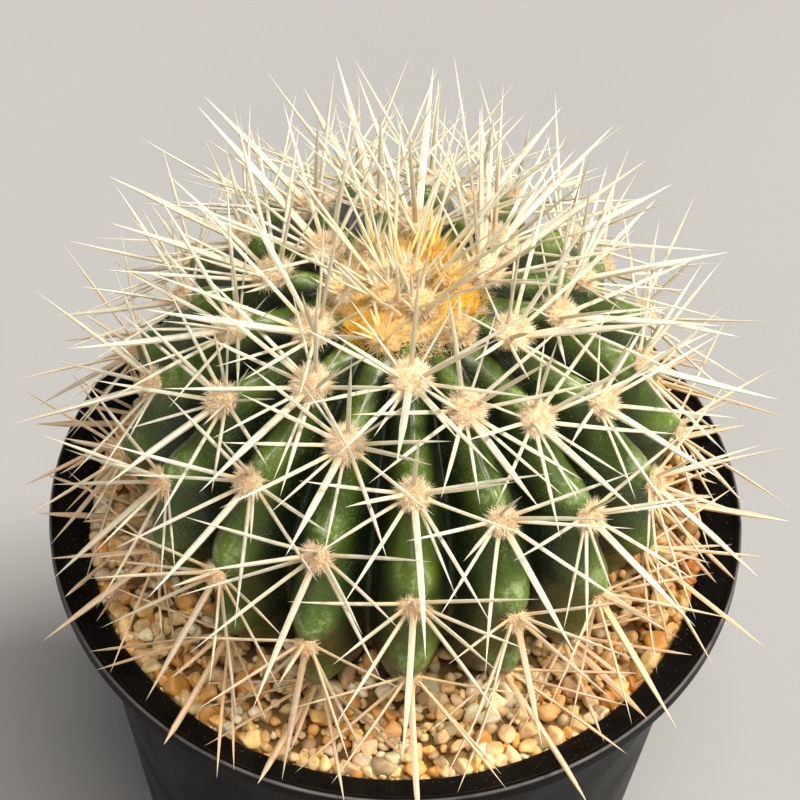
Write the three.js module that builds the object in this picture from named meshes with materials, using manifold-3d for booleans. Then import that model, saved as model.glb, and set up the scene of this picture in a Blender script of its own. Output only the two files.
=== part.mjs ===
// Potted round cactus: a young ribbed globe cactus with ivory spines, in a round black plastic pot
// that is dressed with gravel. Millimetres, +Z up. The origin is the centre of the pot's underside,
// and the side that is seen from the front faces -Y.

import * as THREE from 'three';
import { mergeVertices } from 'three/addons/utils/BufferGeometryUtils.js';
import Module from 'manifold-3d';

const wasm = await Module();
wasm.setup();

// Clearances and the seed of every random draw
const GAP = 0.3;
const SEED = 12.9;
const HASH = [127.1, 311.7, 74.7];
const HASH_SCALE = 43758.5453;
const UP = new THREE.Vector3(0, 0, 1);

// Vertices closer than WELD are one, and directions closer than PARALLEL are parallel
const WELD = 1e-4;
const PARALLEL = 1e-9;

// Pot
const POT_HEIGHT = 102;
const RIM_R = 60;
const RIM_EDGE = 0.9;
const LIP_DROP = 3.2;
const LIP_THICKNESS = 1.5;
const WALL = 1.7;
const WALL_TOP_R = 55;
const WALL_TAPER = 0.12;
const FLOOR = 2.4;
const POT_SEGMENTS = 48;
const DRAIN_HOLES = 6;
const DRAIN_R = 4;
const DRAIN_RING_R = 27;
const DRAIN_SEGMENTS = 12;
const DRAIN_CUT = 4 * FLOOR;
const FOOT_CHAMFER = 2.2;
const INNER_FOOT = 4;
const LIP_HOLLOW = 0.4;
const LIP_FLARE = 0.9;
const LIP_ROOT = 1;
const RIM_CHAMFER = 0.3;
const RIM_GROOVE = [0.5, 0.6];
const BAND_SLOPE = [0.4, 0.3];
const BAND_DEPTH = 2;

// Cactus body: the shell that the areoles' wool touches, an egg of two half ellipses, and the
// distances from the top between which the skin sinks under it and comes back to it
const BODY_R = 46.4;
const BODY_MID_Z = POT_HEIGHT + 22.5;
const BODY_UPPER = 36.1;
const BODY_LOWER = 39.4;
const RIBS = 17;
const RIB_ZERO = THREE.MathUtils.degToRad(4.4);
const GROOVE_SHARE = 0.21;
const GROOVE_START = 5;
const GROOVE_FULL = 34;
const RIB_ROUNDNESS = 1.6;
const COLUMNS_PER_RIB = 4;
const BODY_ROWS = 18;
const CROWN_DIMPLE = 3;
const CROWN_DIMPLE_R = 9;
const SHELL_STEPS = 2000;
const HEIGHT_STEPS = 30;
const SKIN_INSET = 1.9;
const INSET_RISE = [8, 14];
const INSET_FALL = [40, 112];

// Underground part: where the shell ends, and the taproot's (radius, height below the rim)
const SHELL_END = 0.82 * Math.PI;
const TAPROOT = [[13, -17], [6.5, -26], [4, -42], [0, -50]];

// Areoles: the woolly cushions, on a spiral from rib to rib
const AREOLE_PITCH = 18.5;
const SPIRAL_STEP = 6 / RIBS;
const SPIRAL_PHASE = 0.97;
const CROWN_LIMIT = 13.5;
const LOWEST_AREOLE_Z = POT_HEIGHT + 1.2;
const AREOLE_R = 3;
const AREOLE_YOUNG_R = 3.6;
const AREOLE_FLATNESS = 0.58;
const CHIN = 1.9;
const CHIN_LENGTH = 3.8;
const CHIN_OFFSET = -2.8;
const CHINS_FROM = [10.3, 14.3];

// Spines of an areole: angle from straight down the rib and rise from the skin, in degrees,
// then length and base radius in millimetres. The first four stand out in the middle.
// Young spines are longer, stouter and more upright, and old ones that point up are shorter.
const SPINES = [
  [0, 30, 24, 0.72],
  [180, 62, 21, 0.62],
  [88, 54, 22, 0.62],
  [-88, 54, 22, 0.62],
  [38, 22, 21, 0.58],
  [-38, 22, 21, 0.58],
  [104, 22, 19, 0.56],
  [-104, 22, 19, 0.56],
];
const CENTRAL_SPINES = 4;
const CENTRAL_OFFSET = 0.9;
const RADIAL_OFFSET = 1.9;
const SPINE_SIDES = 3;
const ROOT_DEPTH = 1.4;
const ANGLE_SPREAD = 9;
const RISE_SPREAD = 7;
const LENGTH_SPREAD = 0.12;
const SPINE_TRIES = 14;
const SPINE_SPACE = 1.35;
const SPINE_FAR = 3;
const SPINE_LIFT = 0.3;
const YOUTH_REACH = 24;
const YOUNG_RISE = 80;
const YOUNG_RISE_SHARE = 0.45;
const YOUNG_LENGTH = 0.36;
const YOUNG_RADIUS = 0.25;
const OLD_FROM = [30, 60];
const OLD_UPWARD_LOSS = 0.45;
const UPWARD_TURN = 120;

// Which draw each swing is: an areole's own number is its rib's ten plus its row
const RIB_KEY = 10;
const SPINE_DRAWS = { turn: 1, rise: 2, length: 3, perTry: 3 };
const CROWN_DRAWS = { length: 91, lean: 92, turn: 93 };
const GRAIN_DRAWS = { up: 5, inward: 6, around: 7 };

// How a spine is bent clear of the gravel, the rim and the crown
const SPINE_CLEARANCE = 2.4;
const RIM_CLEARANCE = 1.2;
const RIM_MARGIN = 2;
const CROWN_CLEARANCE = 1.6;
const BEND_TRIES = 40;
const BEND_SAMPLES = 24;
const BEND_STEP = 0.06;
const BEND_LEVEL = 0.5;

// Woolly crown and its young spines
const CROWN_R = 10.3;
const CROWN_RISE = 1.6;
const CROWN_SEGMENTS = 20;
const CROWN_SPINES = 36;
const CROWN_SPINE_LENGTH = 24;
const CROWN_SPINE_R = 0.55;
const CROWN_ROOT = 2;
const CROWN_ROOT_DEPTH = 0.8;
const CROWN_ROOT_SPREAD = 0.72;
const CROWN_LENGTHS = [0.5, 1.1];
const CROWN_LEANS = [0.15, 0.9];
const CROWN_LEAN_SWING = 0.3;
const CROWN_TURN_SWING = 0.5;
const CROWN_TRIES = 40;
const CROWN_SPACE = 1.7;
const CROWN_LEAST_SPACE = 1.5;
const CROWN_ROWS = 4;
const CROWN_LIFT = 0.2;
const CROWN_OVERHANG = 0.1;

// Soil and gravel
const GRAVEL_TOP = POT_HEIGHT - 3.7;
const GRAVEL_DEPTH = 6.6;
const GRAVEL_COLUMNS = 6 * RIBS;
const GRAVEL_ROWS = 8;
const GRAIN_RELIEF = 0.75;
const GRAIN_SHIFT = [0.045, 0.28, 0.5];
const GRAVEL_WALL_GAP = 0.75;
const GRAVEL_SKIN_GAP = GAP + 0.6;
const SOIL_WALL_GAP = 0.5;
const SOIL_SOCKET_GAP = GAP + 0.25;
const SOIL_SOCKET_FLARE = 3;
const GRAVEL_FOOT = 1;

// A repeatable draw from 0 to 1 for up to three whole numbers
function draw(a, b = 0, c = 0) {
  const value = Math.sin(SEED + a * HASH[0] + b * HASH[1] + c * HASH[2]) * HASH_SCALE;
  return value - Math.floor(value);
}

// The same draw from -1 to 1
function swing(a, b, c) {
  return 2 * draw(a, b, c) - 1;
}

// Closed solid from a three.js geometry, with its faces turned out
function solid(geometry) {
  const bare = geometry.clone();
  bare.deleteAttribute('normal');
  bare.deleteAttribute('uv');
  const merged = mergeVertices(bare, WELD);
  const points = merged.getAttribute('position').array;
  const triangles = [];
  for (let i = 0; i < merged.index.count; i += 3) {
    const [a, b, c] = [0, 1, 2].map((k) => merged.index.getX(i + k));
    if (a !== b && b !== c && a !== c) triangles.push(a, b, c);
  }
  if (signedVolume(points, triangles) < 0) triangles.reverse();
  return new wasm.Manifold(new wasm.Mesh({
    numProp: 3,
    vertProperties: new Float32Array(points),
    triVerts: new Uint32Array(triangles),
  }));
}

function signedVolume(points, triangles) {
  const corner = [0, 1, 2].map(() => new THREE.Vector3());
  let volume = 0;
  for (let i = 0; i < triangles.length; i += 3) {
    corner.forEach((v, k) => v.fromArray(points, 3 * triangles[i + k]));
    volume += corner[0].dot(corner[1].clone().cross(corner[2])) / 6;
  }
  return volume;
}

// Lathe about +Z: a profile of [radius, height] pairs, and angle 0 at -Y, growing towards +X
function turned(profile, segments) {
  const points = profile.map(([r, z]) => new THREE.Vector2(r, z));
  return new THREE.LatheGeometry(points, segments).rotateX(Math.PI / 2);
}

function joined(solids) {
  let level = solids;
  while (level.length > 1) {
    const next = [];
    for (let i = 0; i < level.length; i += 2) {
      next.push(i + 1 < level.length ? level[i].add(level[i + 1]) : level[i]);
    }
    level = next;
  }
  return level[0];
}

// Fills any hollow that joining seals and drops loose scraps, by keeping the outer skin alone
function filled(body) {
  const skins = body.decompose();
  return skins.reduce((best, each) => (each.volume() > best.volume() ? each : best));
}

function namedMesh(name, body, material) {
  const raw = body.getMesh();
  const geometry = new THREE.BufferGeometry();
  const positions = new Float32Array(raw.vertProperties);
  geometry.setAttribute('position', new THREE.BufferAttribute(positions, 3));
  geometry.setIndex(new THREE.BufferAttribute(new Uint32Array(raw.triVerts), 1));
  geometry.computeVertexNormals();
  const mesh = new THREE.Mesh(geometry, material);
  mesh.name = name;
  return mesh;
}

// Point and slope of the rib-crest shell at the distance s along it from the top
const SHELL = measuredShell(SHELL_STEPS);

function measuredShell(steps) {
  const table = [];
  let s = 0;
  let last = null;
  for (let i = 0; i <= steps; i += 1) {
    const angle = (SHELL_END * i) / steps;
    const half = angle < Math.PI / 2 ? BODY_UPPER : BODY_LOWER;
    const r = BODY_R * Math.sin(angle);
    const z = BODY_MID_Z + half * Math.cos(angle);
    if (last) s += Math.hypot(r - last.r, z - last.z);
    last = { s, r, z };
    table.push(last);
  }
  return table;
}

function shellAt(s) {
  const length = SHELL.at(-1).s;
  const wanted = THREE.MathUtils.clamp(s, 0, length);
  let low = 0;
  let high = SHELL.length - 1;
  while (high - low > 1) {
    const middle = (low + high) >> 1;
    if (SHELL[middle].s <= wanted) low = middle;
    else high = middle;
  }
  const a = SHELL[low];
  const b = SHELL[high];
  const share = (wanted - a.s) / (b.s - a.s);
  const step = b.s - a.s;
  return {
    r: a.r + (b.r - a.r) * share,
    z: a.z + (b.z - a.z) * share,
    dr: (b.r - a.r) / step,
    dz: (b.z - a.z) / step,
  };
}

// Distances from the top of the areoles on one rib, from the crown's edge to just above the gravel
function areoleDistances(rib) {
  const turns = SPIRAL_PHASE + SPIRAL_STEP * rib;
  let s = AREOLE_PITCH * (turns - Math.floor(turns));
  const distances = [];
  while (shellAt(s).z > LOWEST_AREOLE_Z) {
    if (s > CROWN_LIMIT) distances.push(s);
    s += AREOLE_PITCH;
  }
  return distances;
}

// Ribbed skin at distance s from the top and longitude angle: radius and height
function skin(s, angle, grow = 0) {
  const { r, z, dr, dz } = shellAt(s);
  const turns = ((angle - RIB_ZERO) * RIBS) / (2 * Math.PI);
  const rib = Math.round(turns);
  const across = Math.min(1, 2 * Math.abs(turns - rib));
  const crest = 1 - across ** RIB_ROUNDNESS;
  const depth = GROOVE_SHARE * r * THREE.MathUtils.smoothstep(s, GROOVE_START, GROOVE_FULL);
  const reach = (distance) => Math.exp(-(((s - distance - CHIN_OFFSET) / CHIN_LENGTH) ** 2));
  const chins = areoleDistances(rib).map(reach);
  const bare = THREE.MathUtils.smoothstep(s, ...CHINS_FROM);
  const chin = CHIN * bare * crest * Math.max(0, ...chins);
  const dimple = CROWN_DIMPLE * Math.exp(-((s / CROWN_DIMPLE_R) ** 2));
  const sunk = THREE.MathUtils.smoothstep(s, ...INSET_RISE) - THREE.MathUtils.smoothstep(s, ...INSET_FALL);
  const out = grow + chin - depth * (1 - crest) - dimple - SKIN_INSET * sunk;
  return { r: Math.max(0, r - dz * out), z: z + dr * out };
}

// Body: a lathe whose vertices are moved in to the grooves and out to the chins under the areoles
function bodyGeometry(grow = 0) {
  const rows = BODY_ROWS;
  const distances = Array.from({ length: rows + 1 }, (_, j) => (SHELL.at(-1).s * j) / rows);
  const root = TAPROOT.map(([r, z]) => [r > 0 ? r + grow : 0, POT_HEIGHT + z - grow]);
  const shellProfile = distances.map((s) => [shellAt(s).r, shellAt(s).z]);
  const profile = [...shellProfile, ...root];
  const columns = RIBS * COLUMNS_PER_RIB;
  const geometry = turned(profile, columns);
  const position = geometry.getAttribute('position');
  for (let i = 0; i < position.count; i += 1) {
    const row = i % profile.length;
    const column = Math.floor(i / profile.length) % columns;
    const angle = RIB_ZERO + (2 * Math.PI * column) / columns;
    let [r, z] = profile[row];
    if (row <= rows) ({ r, z } = skin(distances[row], angle, grow));
    if (row === 0) r = 0;
    position.setXYZ(i, r * Math.sin(angle), -r * Math.cos(angle), z);
  }
  return geometry;
}

// Place and axes of an areole: out of the skin, down the rib and across it
function areoleFrame(rib, s) {
  const angle = RIB_ZERO + (2 * Math.PI * rib) / RIBS;
  const { dr, dz } = shellAt(s);
  const { r, z } = skin(s, angle);
  const [sin, cos] = [Math.sin(angle), Math.cos(angle)];
  return {
    at: new THREE.Vector3(r * sin, -r * cos, z),
    out: new THREE.Vector3(-dz * sin, dz * cos, dr),
    down: new THREE.Vector3(dr * sin, -dr * cos, dz),
    side: new THREE.Vector3(cos, sin, 0),
  };
}

function bodyAreoles() {
  const areoles = [];
  for (let rib = 0; rib < RIBS; rib += 1) {
    areoleDistances(rib).forEach((s, row) => areoles.push({ rib, row, s, ...areoleFrame(rib, s) }));
  }
  return areoles;
}

// 1 at the top of the plant, falling to 0 on its old flanks
function youthAt(s) {
  return Math.exp(-((s / YOUTH_REACH) ** 2));
}

// Wool cushion of an areole: a small faceted dome, sunk half way
function cushion({ s, at, out, down, side }) {
  const radius = THREE.MathUtils.lerp(AREOLE_R, AREOLE_YOUNG_R, youthAt(s));
  const dome = new THREE.OctahedronGeometry(1, 0).scale(radius, radius, radius * AREOLE_FLATNESS);
  const turn = new THREE.Matrix4().makeBasis(side, down.clone().negate(), out);
  return solid(dome.applyMatrix4(turn).translate(at.x, at.y, at.z));
}

// Straight needle from a root along a direction, rooted ROOT_DEPTH inside
function needle({ root, direction, length, radius }, depth = ROOT_DEPTH) {
  const whole = length + depth;
  const cone = new THREE.ConeGeometry(radius, whole, SPINE_SIDES).translate(0, whole / 2 - depth, 0);
  const turn = new THREE.Quaternion().setFromUnitVectors(new THREE.Vector3(0, 1, 0), direction);
  return solid(cone.applyQuaternion(turn).translate(root.x, root.y, root.z));
}

// Lowest height that a spine may have at a distance from the pot's axis
function floorAt(r) {
  const onGravel = GRAVEL_TOP + SPINE_CLEARANCE;
  const onRim = POT_HEIGHT + RIM_CLEARANCE;
  return r < WALL_TOP_R - WALL - RIM_MARGIN ? onGravel : onRim;
}

// Share of the crown's wool that a point is inside of, below 1 being inside
function crownReach(point) {
  const middle = BODY_MID_Z + BODY_UPPER - CROWN_DIMPLE;
  const across = Math.hypot(point.x, point.y) / (CROWN_R + CROWN_CLEARANCE);
  const above = (point.z - middle) / (CROWN_DIMPLE + CROWN_RISE + CROWN_CLEARANCE);
  return Math.hypot(across, above);
}

// Bends a spine clear of the gravel and rim by lifting it, and of the crown by turning it outwards
function bentClear(spine, out) {
  const bent = { ...spine, direction: spine.direction.clone() };
  const level = new THREE.Vector3(out.x, out.y, 0).normalize();
  const away = level.clone().add(out).normalize();
  const lift = level.clone().multiplyScalar(BEND_LEVEL).add(UP);
  for (let tries = 0; tries < BEND_TRIES; tries += 1) {
    let low = false;
    let inCrown = false;
    for (let step = 1; step <= BEND_SAMPLES; step += 1) {
      const distance = (bent.length * step) / BEND_SAMPLES;
      const point = bent.root.clone().addScaledVector(bent.direction, distance);
      low ||= point.z < floorAt(Math.hypot(point.x, point.y));
      inCrown ||= crownReach(point) < 1;
    }
    if (!low && !inCrown) break;
    bent.direction.addScaledVector(low ? lift : away, BEND_STEP).normalize();
  }
  return bent;
}

// Spine number i of an areole, for one of its draws
function spineOf(areole, i, attempt) {
  const [turn, rise, length, radius] = SPINES[i];
  const key = areole.rib * RIB_KEY + areole.row;
  const youth = youthAt(areole.s);
  const old = THREE.MathUtils.smoothstep(areole.s, ...OLD_FROM);
  const first = SPINE_DRAWS.perTry * attempt;
  const angle = THREE.MathUtils.degToRad(turn + ANGLE_SPREAD * swing(key, i, first + SPINE_DRAWS.turn));
  const youngRise = THREE.MathUtils.lerp(rise, YOUNG_RISE, YOUNG_RISE_SHARE * youth);
  const up = THREE.MathUtils.degToRad(youngRise + RISE_SPREAD * swing(key, i, first + SPINE_DRAWS.rise));
  const along = areole.down.clone().multiplyScalar(Math.cos(angle));
  along.addScaledVector(areole.side, Math.sin(angle));
  const direction = along.clone().multiplyScalar(Math.cos(up)).addScaledVector(areole.out, Math.sin(up));
  const offset = i < CENTRAL_SPINES ? CENTRAL_OFFSET : RADIAL_OFFSET;
  const root = areole.at.clone().addScaledVector(along, offset);
  const loss = Math.abs(turn) > UPWARD_TURN ? OLD_UPWARD_LOSS * old : 0;
  const spread = LENGTH_SPREAD * swing(key, i, SPINE_DRAWS.length);
  return bentClear({
    key,
    root: root.addScaledVector(areole.out, SPINE_LIFT),
    direction: direction.normalize(),
    length: length * (1 + YOUNG_LENGTH * youth - loss) * (1 + spread),
    radius: radius * (1 + YOUNG_RADIUS * youth),
  }, areole.out);
}

// Shortest distance between two straight spines
function spineDistance(a, b) {
  const between = a.root.clone().sub(b.root);
  if (between.length() > a.length + b.length + SPINE_FAR) return Infinity;
  const cos = a.direction.dot(b.direction);
  const alongA = a.direction.dot(between);
  const alongB = b.direction.dot(between);
  const slope = 1 - cos * cos;
  const limit = THREE.MathUtils.clamp;
  let onA = slope > PARALLEL ? limit((cos * alongB - alongA) / slope, 0, a.length) : 0;
  const onB = limit(cos * onA + alongB, 0, b.length);
  onA = limit(cos * onB - alongA, 0, a.length);
  return between.addScaledVector(a.direction, onA).addScaledVector(b.direction, -onB).length();
}

// All spines of the body: each takes the first draw that passes clear of the spines before it
function bodySpines(areoles) {
  const placed = [];
  SPINES.forEach((_, i) => {
    areoles.forEach((areole) => {
      let best = null;
      for (let attempt = 0; attempt < SPINE_TRIES; attempt += 1) {
        const spine = spineOf(areole, i, attempt);
        const others = placed.filter((other) => other.key !== spine.key);
        const clear = Math.min(Infinity, ...others.map((other) => spineDistance(spine, other)));
        if (!best || clear > best.clear) best = { ...spine, clear };
        if (clear > SPINE_SPACE) break;
      }
      placed.push(best);
    });
  });
  return placed;
}

// Young spines of the crown, each turned until it is clear of the body's spines
function crownSpines(others) {
  const golden = Math.PI * (3 - Math.sqrt(5));
  const spines = [];
  for (let i = 0; i < CROWN_SPINES; i += 1) {
    const share = Math.sqrt((i + 0.5) / CROWN_SPINES);
    const around = i * golden;
    const outward = new THREE.Vector3(Math.sin(around), -Math.cos(around), 0);
    const reach = CROWN_ROOT_SPREAD * CROWN_R * share;
    const root = outward.clone().multiplyScalar(reach).setZ(skin(reach, RIB_ZERO).z + CROWN_ROOT);
    const spread = LENGTH_SPREAD * swing(i, CROWN_DRAWS.length, SPINE_DRAWS.length);
    const length = CROWN_SPINE_LENGTH * THREE.MathUtils.lerp(...CROWN_LENGTHS, share) * (1 + spread);
    let best = null;
    for (let tries = 0; tries < CROWN_TRIES; tries += 1) {
      const sway = CROWN_LEAN_SWING * swing(i, CROWN_DRAWS.lean, tries);
      const lean = THREE.MathUtils.lerp(...CROWN_LEANS, share) + sway;
      const turn = around + CROWN_TURN_SWING * swing(i, CROWN_DRAWS.turn, tries);
      const direction = new THREE.Vector3(Math.sin(turn) * lean, -Math.cos(turn) * lean, 1).normalize();
      const spine = { root, direction, length, radius: CROWN_SPINE_R };
      const clear = Math.min(...others.map((other) => spineDistance(spine, other)));
      if (!best || clear > best.clear) best = { ...spine, clear };
      if (clear > CROWN_SPACE) break;
    }
    if (best.clear > CROWN_LEAST_SPACE) spines.push(best);
  }
  return spines;
}

// Outer radius of the pot's wall at a height
function wallRadius(z) {
  return WALL_TOP_R - WALL_TAPER * (POT_HEIGHT - LIP_DROP - z);
}

function makePot() {
  const inner = (z) => wallRadius(z) - WALL;
  const lipZ = POT_HEIGHT - LIP_DROP;
  const underLip = POT_HEIGHT - RIM_EDGE - LIP_THICKNESS;
  const outer = [
    [0, 0],
    [wallRadius(0) - FOOT_CHAMFER, 0],
    [wallRadius(FOOT_CHAMFER), FOOT_CHAMFER],
    [wallRadius(lipZ - LIP_ROOT), lipZ - LIP_ROOT],
    [wallRadius(lipZ) + LIP_FLARE, underLip - LIP_HOLLOW],
    [RIM_R - LIP_THICKNESS, underLip],
    [RIM_R - LIP_THICKNESS, lipZ],
    [RIM_R, lipZ],
    [RIM_R, POT_HEIGHT - RIM_CHAMFER],
    [RIM_R - RIM_CHAMFER, POT_HEIGHT],
    [RIM_R - RIM_EDGE, POT_HEIGHT],
    [RIM_R - RIM_EDGE - RIM_GROOVE[0], POT_HEIGHT - RIM_GROOVE[1]],
  ];
  const inside = [
    [inner(lipZ) + BAND_SLOPE[0], lipZ + BAND_SLOPE[1]],
    [inner(lipZ - BAND_DEPTH), lipZ - BAND_DEPTH],
    [inner(FLOOR + INNER_FOOT), FLOOR + INNER_FOOT],
    [inner(FLOOR) - INNER_FOOT, FLOOR],
    [0, FLOOR],
  ];
  let pot = solid(turned([...outer, ...inside], POT_SEGMENTS));
  for (let i = 0; i < DRAIN_HOLES; i += 1) {
    const angle = (2 * Math.PI * i) / DRAIN_HOLES;
    const hole = new THREE.CylinderGeometry(DRAIN_R, DRAIN_R, DRAIN_CUT, DRAIN_SEGMENTS);
    hole.rotateX(Math.PI / 2);
    hole.translate(DRAIN_RING_R * Math.cos(angle), DRAIN_RING_R * Math.sin(angle), 0);
    pot = pot.subtract(solid(hole));
  }
  return pot;
}

// Soil: fills the pot from its floor to the gravel, round a socket that follows the plant's base
function makeSoil() {
  const wall = (z) => wallRadius(z) - WALL - SOIL_WALL_GAP;
  const top = GRAVEL_TOP - GRAVEL_DEPTH - GAP;
  const bottom = FLOOR + GAP;
  const foot = INNER_FOOT + SOIL_WALL_GAP / 2;
  const outside = [
    [0, bottom],
    [wall(bottom) - foot, bottom],
    [wall(bottom + foot), bottom + foot],
    [wall(top), top],
  ];
  const clear = SOIL_SOCKET_GAP;
  const base = SHELL.at(-1);
  const hollow = [
    [base.r + SOIL_SOCKET_FLARE * clear, top],
    [base.r + clear, base.z - clear],
    ...TAPROOT.map(([r, z]) => [r > 0 ? r + clear : 0, POT_HEIGHT + z - clear]),
  ];
  return solid(turned([...outside, ...hollow], POT_SEGMENTS));
}

// Radius of the ribbed skin below its widest place, at a height and longitude angle
function skinRadiusAt(z, angle) {
  let low = SHELL.at(-1).s / 2;
  let high = SHELL.at(-1).s;
  for (let step = 0; step < HEIGHT_STEPS; step += 1) {
    const middle = (low + high) / 2;
    if (skin(middle, angle).z > z) low = middle;
    else high = middle;
  }
  return skin(low, angle).r;
}

// Gravel: one layer round the ribs, whose top is raised to grains
function makeGravel() {
  const edge = WALL_TOP_R - WALL - GRAVEL_WALL_GAP;
  const bottom = GRAVEL_TOP - GRAVEL_DEPTH;
  const shares = Array.from({ length: GRAVEL_ROWS }, (_, j) => j / (GRAVEL_ROWS - 1));
  const inside = edge / 2;
  const rows = shares.map((share) => [THREE.MathUtils.lerp(edge, inside, share), GRAVEL_TOP]);
  const profile = [[inside, bottom], [edge - GRAVEL_FOOT, bottom], ...rows, [inside, bottom]];
  const geometry = turned(profile, GRAVEL_COLUMNS);
  const position = geometry.getAttribute('position');
  for (let i = 0; i < position.count; i += 1) {
    const point = i % profile.length;
    const row = point - 2;
    const column = Math.floor(i / profile.length) % GRAVEL_COLUMNS;
    const straight = RIB_ZERO + (2 * Math.PI * column) / GRAVEL_COLUMNS;
    let angle = straight;
    let [r, z] = profile[point];
    if (row < 0 || row >= GRAVEL_ROWS) {
      if (point !== 1) r = skinRadiusAt(bottom, straight) + GRAVEL_SKIN_GAP;
    } else {
      const middle = row > 0 && row < GRAVEL_ROWS - 1;
      const inner = skinRadiusAt(GRAVEL_TOP + GRAIN_RELIEF, straight) + GRAVEL_SKIN_GAP;
      const high = (row + column) % 2 ? 1 : -1;
      const [inward, around, upward] = GRAIN_SHIFT;
      const sideways = middle ? around * swing(row, column, GRAIN_DRAWS.around) : 0;
      const share = shares[row] + (middle ? inward * swing(row, column, GRAIN_DRAWS.inward) : 0);
      z += GRAIN_RELIEF * (high + upward * swing(row, column, GRAIN_DRAWS.up));
      r = THREE.MathUtils.lerp(edge, inner, share);
      angle += (sideways * 2 * Math.PI) / GRAVEL_COLUMNS;
    }
    position.setXYZ(i, r * Math.sin(angle), -r * Math.cos(angle), z);
  }
  return solid(geometry);
}

// Crown: a low mound of felt that follows the dimpled top, with its young spines
function makeCrown(spines) {
  const rowPitch = SHELL.at(-1).s / BODY_ROWS;
  const clear = GAP + CROWN_LIFT;
  const [top, first, second] = [0, 1, 2].map((row) => skin(row * rowPitch, RIB_ZERO, clear));
  const share = CROWN_R / rowPitch - 1;
  const edge = THREE.MathUtils.lerp(first.z, second.z, share);
  const under = [[0, top.z], [first.r, first.z], [THREE.MathUtils.lerp(first.r, second.r, share), edge]];
  const over = Array.from({ length: CROWN_ROWS }, (_, j) => {
    const out = 1 - (j + 1) / CROWN_ROWS;
    const { r, z } = shellAt(CROWN_R * (out + CROWN_OVERHANG));
    return [out ? r : 0, z + CROWN_RISE * (1 - out ** 2)];
  });
  const geometry = turned([...under, ...over], CROWN_SEGMENTS);
  const needles = spines.map((spine) => needle(spine, CROWN_ROOT_DEPTH));
  return filled(joined([solid(geometry), ...needles]));
}

const areoles = bodyAreoles();
const spines = bodySpines(areoles);
const cactus = filled(joined([
  solid(bodyGeometry()),
  ...areoles.map(cushion),
  ...spines.map((spine) => needle(spine)),
]));

const finish = {
  pot: new THREE.MeshStandardMaterial({ color: 0x17181a, roughness: 0.55, metalness: 0 }),
  soil: new THREE.MeshStandardMaterial({ color: 0x3a2a1e, roughness: 1, metalness: 0 }),
  gravel: new THREE.MeshStandardMaterial({ color: 0xd9bb86, roughness: 0.85, metalness: 0 }),
  cactus: new THREE.MeshStandardMaterial({ color: 0x2f5a2b, roughness: 0.5, metalness: 0 }),
  crown: new THREE.MeshStandardMaterial({ color: 0xe6c98f, roughness: 1, metalness: 0 }),
};

const pottedCactus = new THREE.Group();
pottedCactus.add(
  namedMesh('pot', makePot(), finish.pot),
  namedMesh('soil', makeSoil(), finish.soil),
  namedMesh('gravel', makeGravel(), finish.gravel),
  namedMesh('cactus', cactus, finish.cactus),
  namedMesh('crown_wool', makeCrown(crownSpines(spines)), finish.crown),
);

export default pottedCactus;
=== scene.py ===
"""Potted round cactus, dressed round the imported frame.

Lengths are in millimetres until a mesh is made: mesh_object() turns them into metres.
The shape rules for ribs, areoles and spines are the ones that the solids were made with.
"""

import math

import bpy
import numpy as np
from mathutils import Matrix, Vector


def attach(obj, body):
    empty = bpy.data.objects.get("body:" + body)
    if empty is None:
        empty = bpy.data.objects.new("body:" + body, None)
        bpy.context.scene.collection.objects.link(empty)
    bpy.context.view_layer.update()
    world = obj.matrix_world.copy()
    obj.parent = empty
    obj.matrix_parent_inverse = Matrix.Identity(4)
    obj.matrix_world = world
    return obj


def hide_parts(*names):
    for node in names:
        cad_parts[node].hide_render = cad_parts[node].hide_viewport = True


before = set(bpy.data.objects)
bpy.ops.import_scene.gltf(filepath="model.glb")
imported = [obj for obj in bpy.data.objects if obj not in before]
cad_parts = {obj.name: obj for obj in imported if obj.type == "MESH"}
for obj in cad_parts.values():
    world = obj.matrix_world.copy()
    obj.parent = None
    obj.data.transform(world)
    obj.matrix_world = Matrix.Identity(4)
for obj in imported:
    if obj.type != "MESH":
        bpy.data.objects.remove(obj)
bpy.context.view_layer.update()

MM = 0.001
SEED = 12.9
RNG = np.random.default_rng(7)

# Pot
POT_HEIGHT = 102.0
RIM_R = 60.0
RIM_EDGE = 0.9
LIP_DROP = 3.2
LIP_THICKNESS = 1.5
WALL = 1.7
WALL_TOP_R = 55.0
WALL_TAPER = 0.12
FLOOR = 2.4
DRAIN_HOLES = 6
DRAIN_R = 4.0
DRAIN_RING_R = 27.0
POT_SEGMENTS = 192

# Body: the shell that the rib crests touch, and its ribs
BODY_R = 46.4
BODY_MID_Z = POT_HEIGHT + 22.5
BODY_UPPER = 36.1
BODY_LOWER = 39.4
SHELL_END = 0.82 * math.pi
RIBS = 17
RIB_ZERO = math.radians(4.4)
GROOVE_SHARE = 0.21
GROOVE_START = 5.0
GROOVE_FULL = 34.0
RIB_ROUNDNESS = 1.6
CROWN_DIMPLE = 3.0
CROWN_DIMPLE_R = 9.0
SKIN_INSET = 1.9
INSET_RISE = (8, 14)
INSET_FALL = (40, 112)
SKIN_COLUMNS = 18 * RIBS
SKIN_ROWS = 150
TAPROOT = [(13, -17), (6.5, -26), (4, -42), (0, -50)]

# Areoles
AREOLE_PITCH = 18.5
SPIRAL_STEP = 6 / RIBS
SPIRAL_PHASE = 0.97
CROWN_LIMIT = 13.5
LOWEST_AREOLE_Z = POT_HEIGHT + 1.2
CHIN = 1.9
CHIN_LENGTH = 3.8
CHIN_OFFSET = -2.8
CHIN_RISE = 4
# Keys that keep the repeatable draws of one areole or spine apart from another's
RIB_KEYS = 10
YOUNG_KEY = 500
CROWN_KEY = 900

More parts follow.
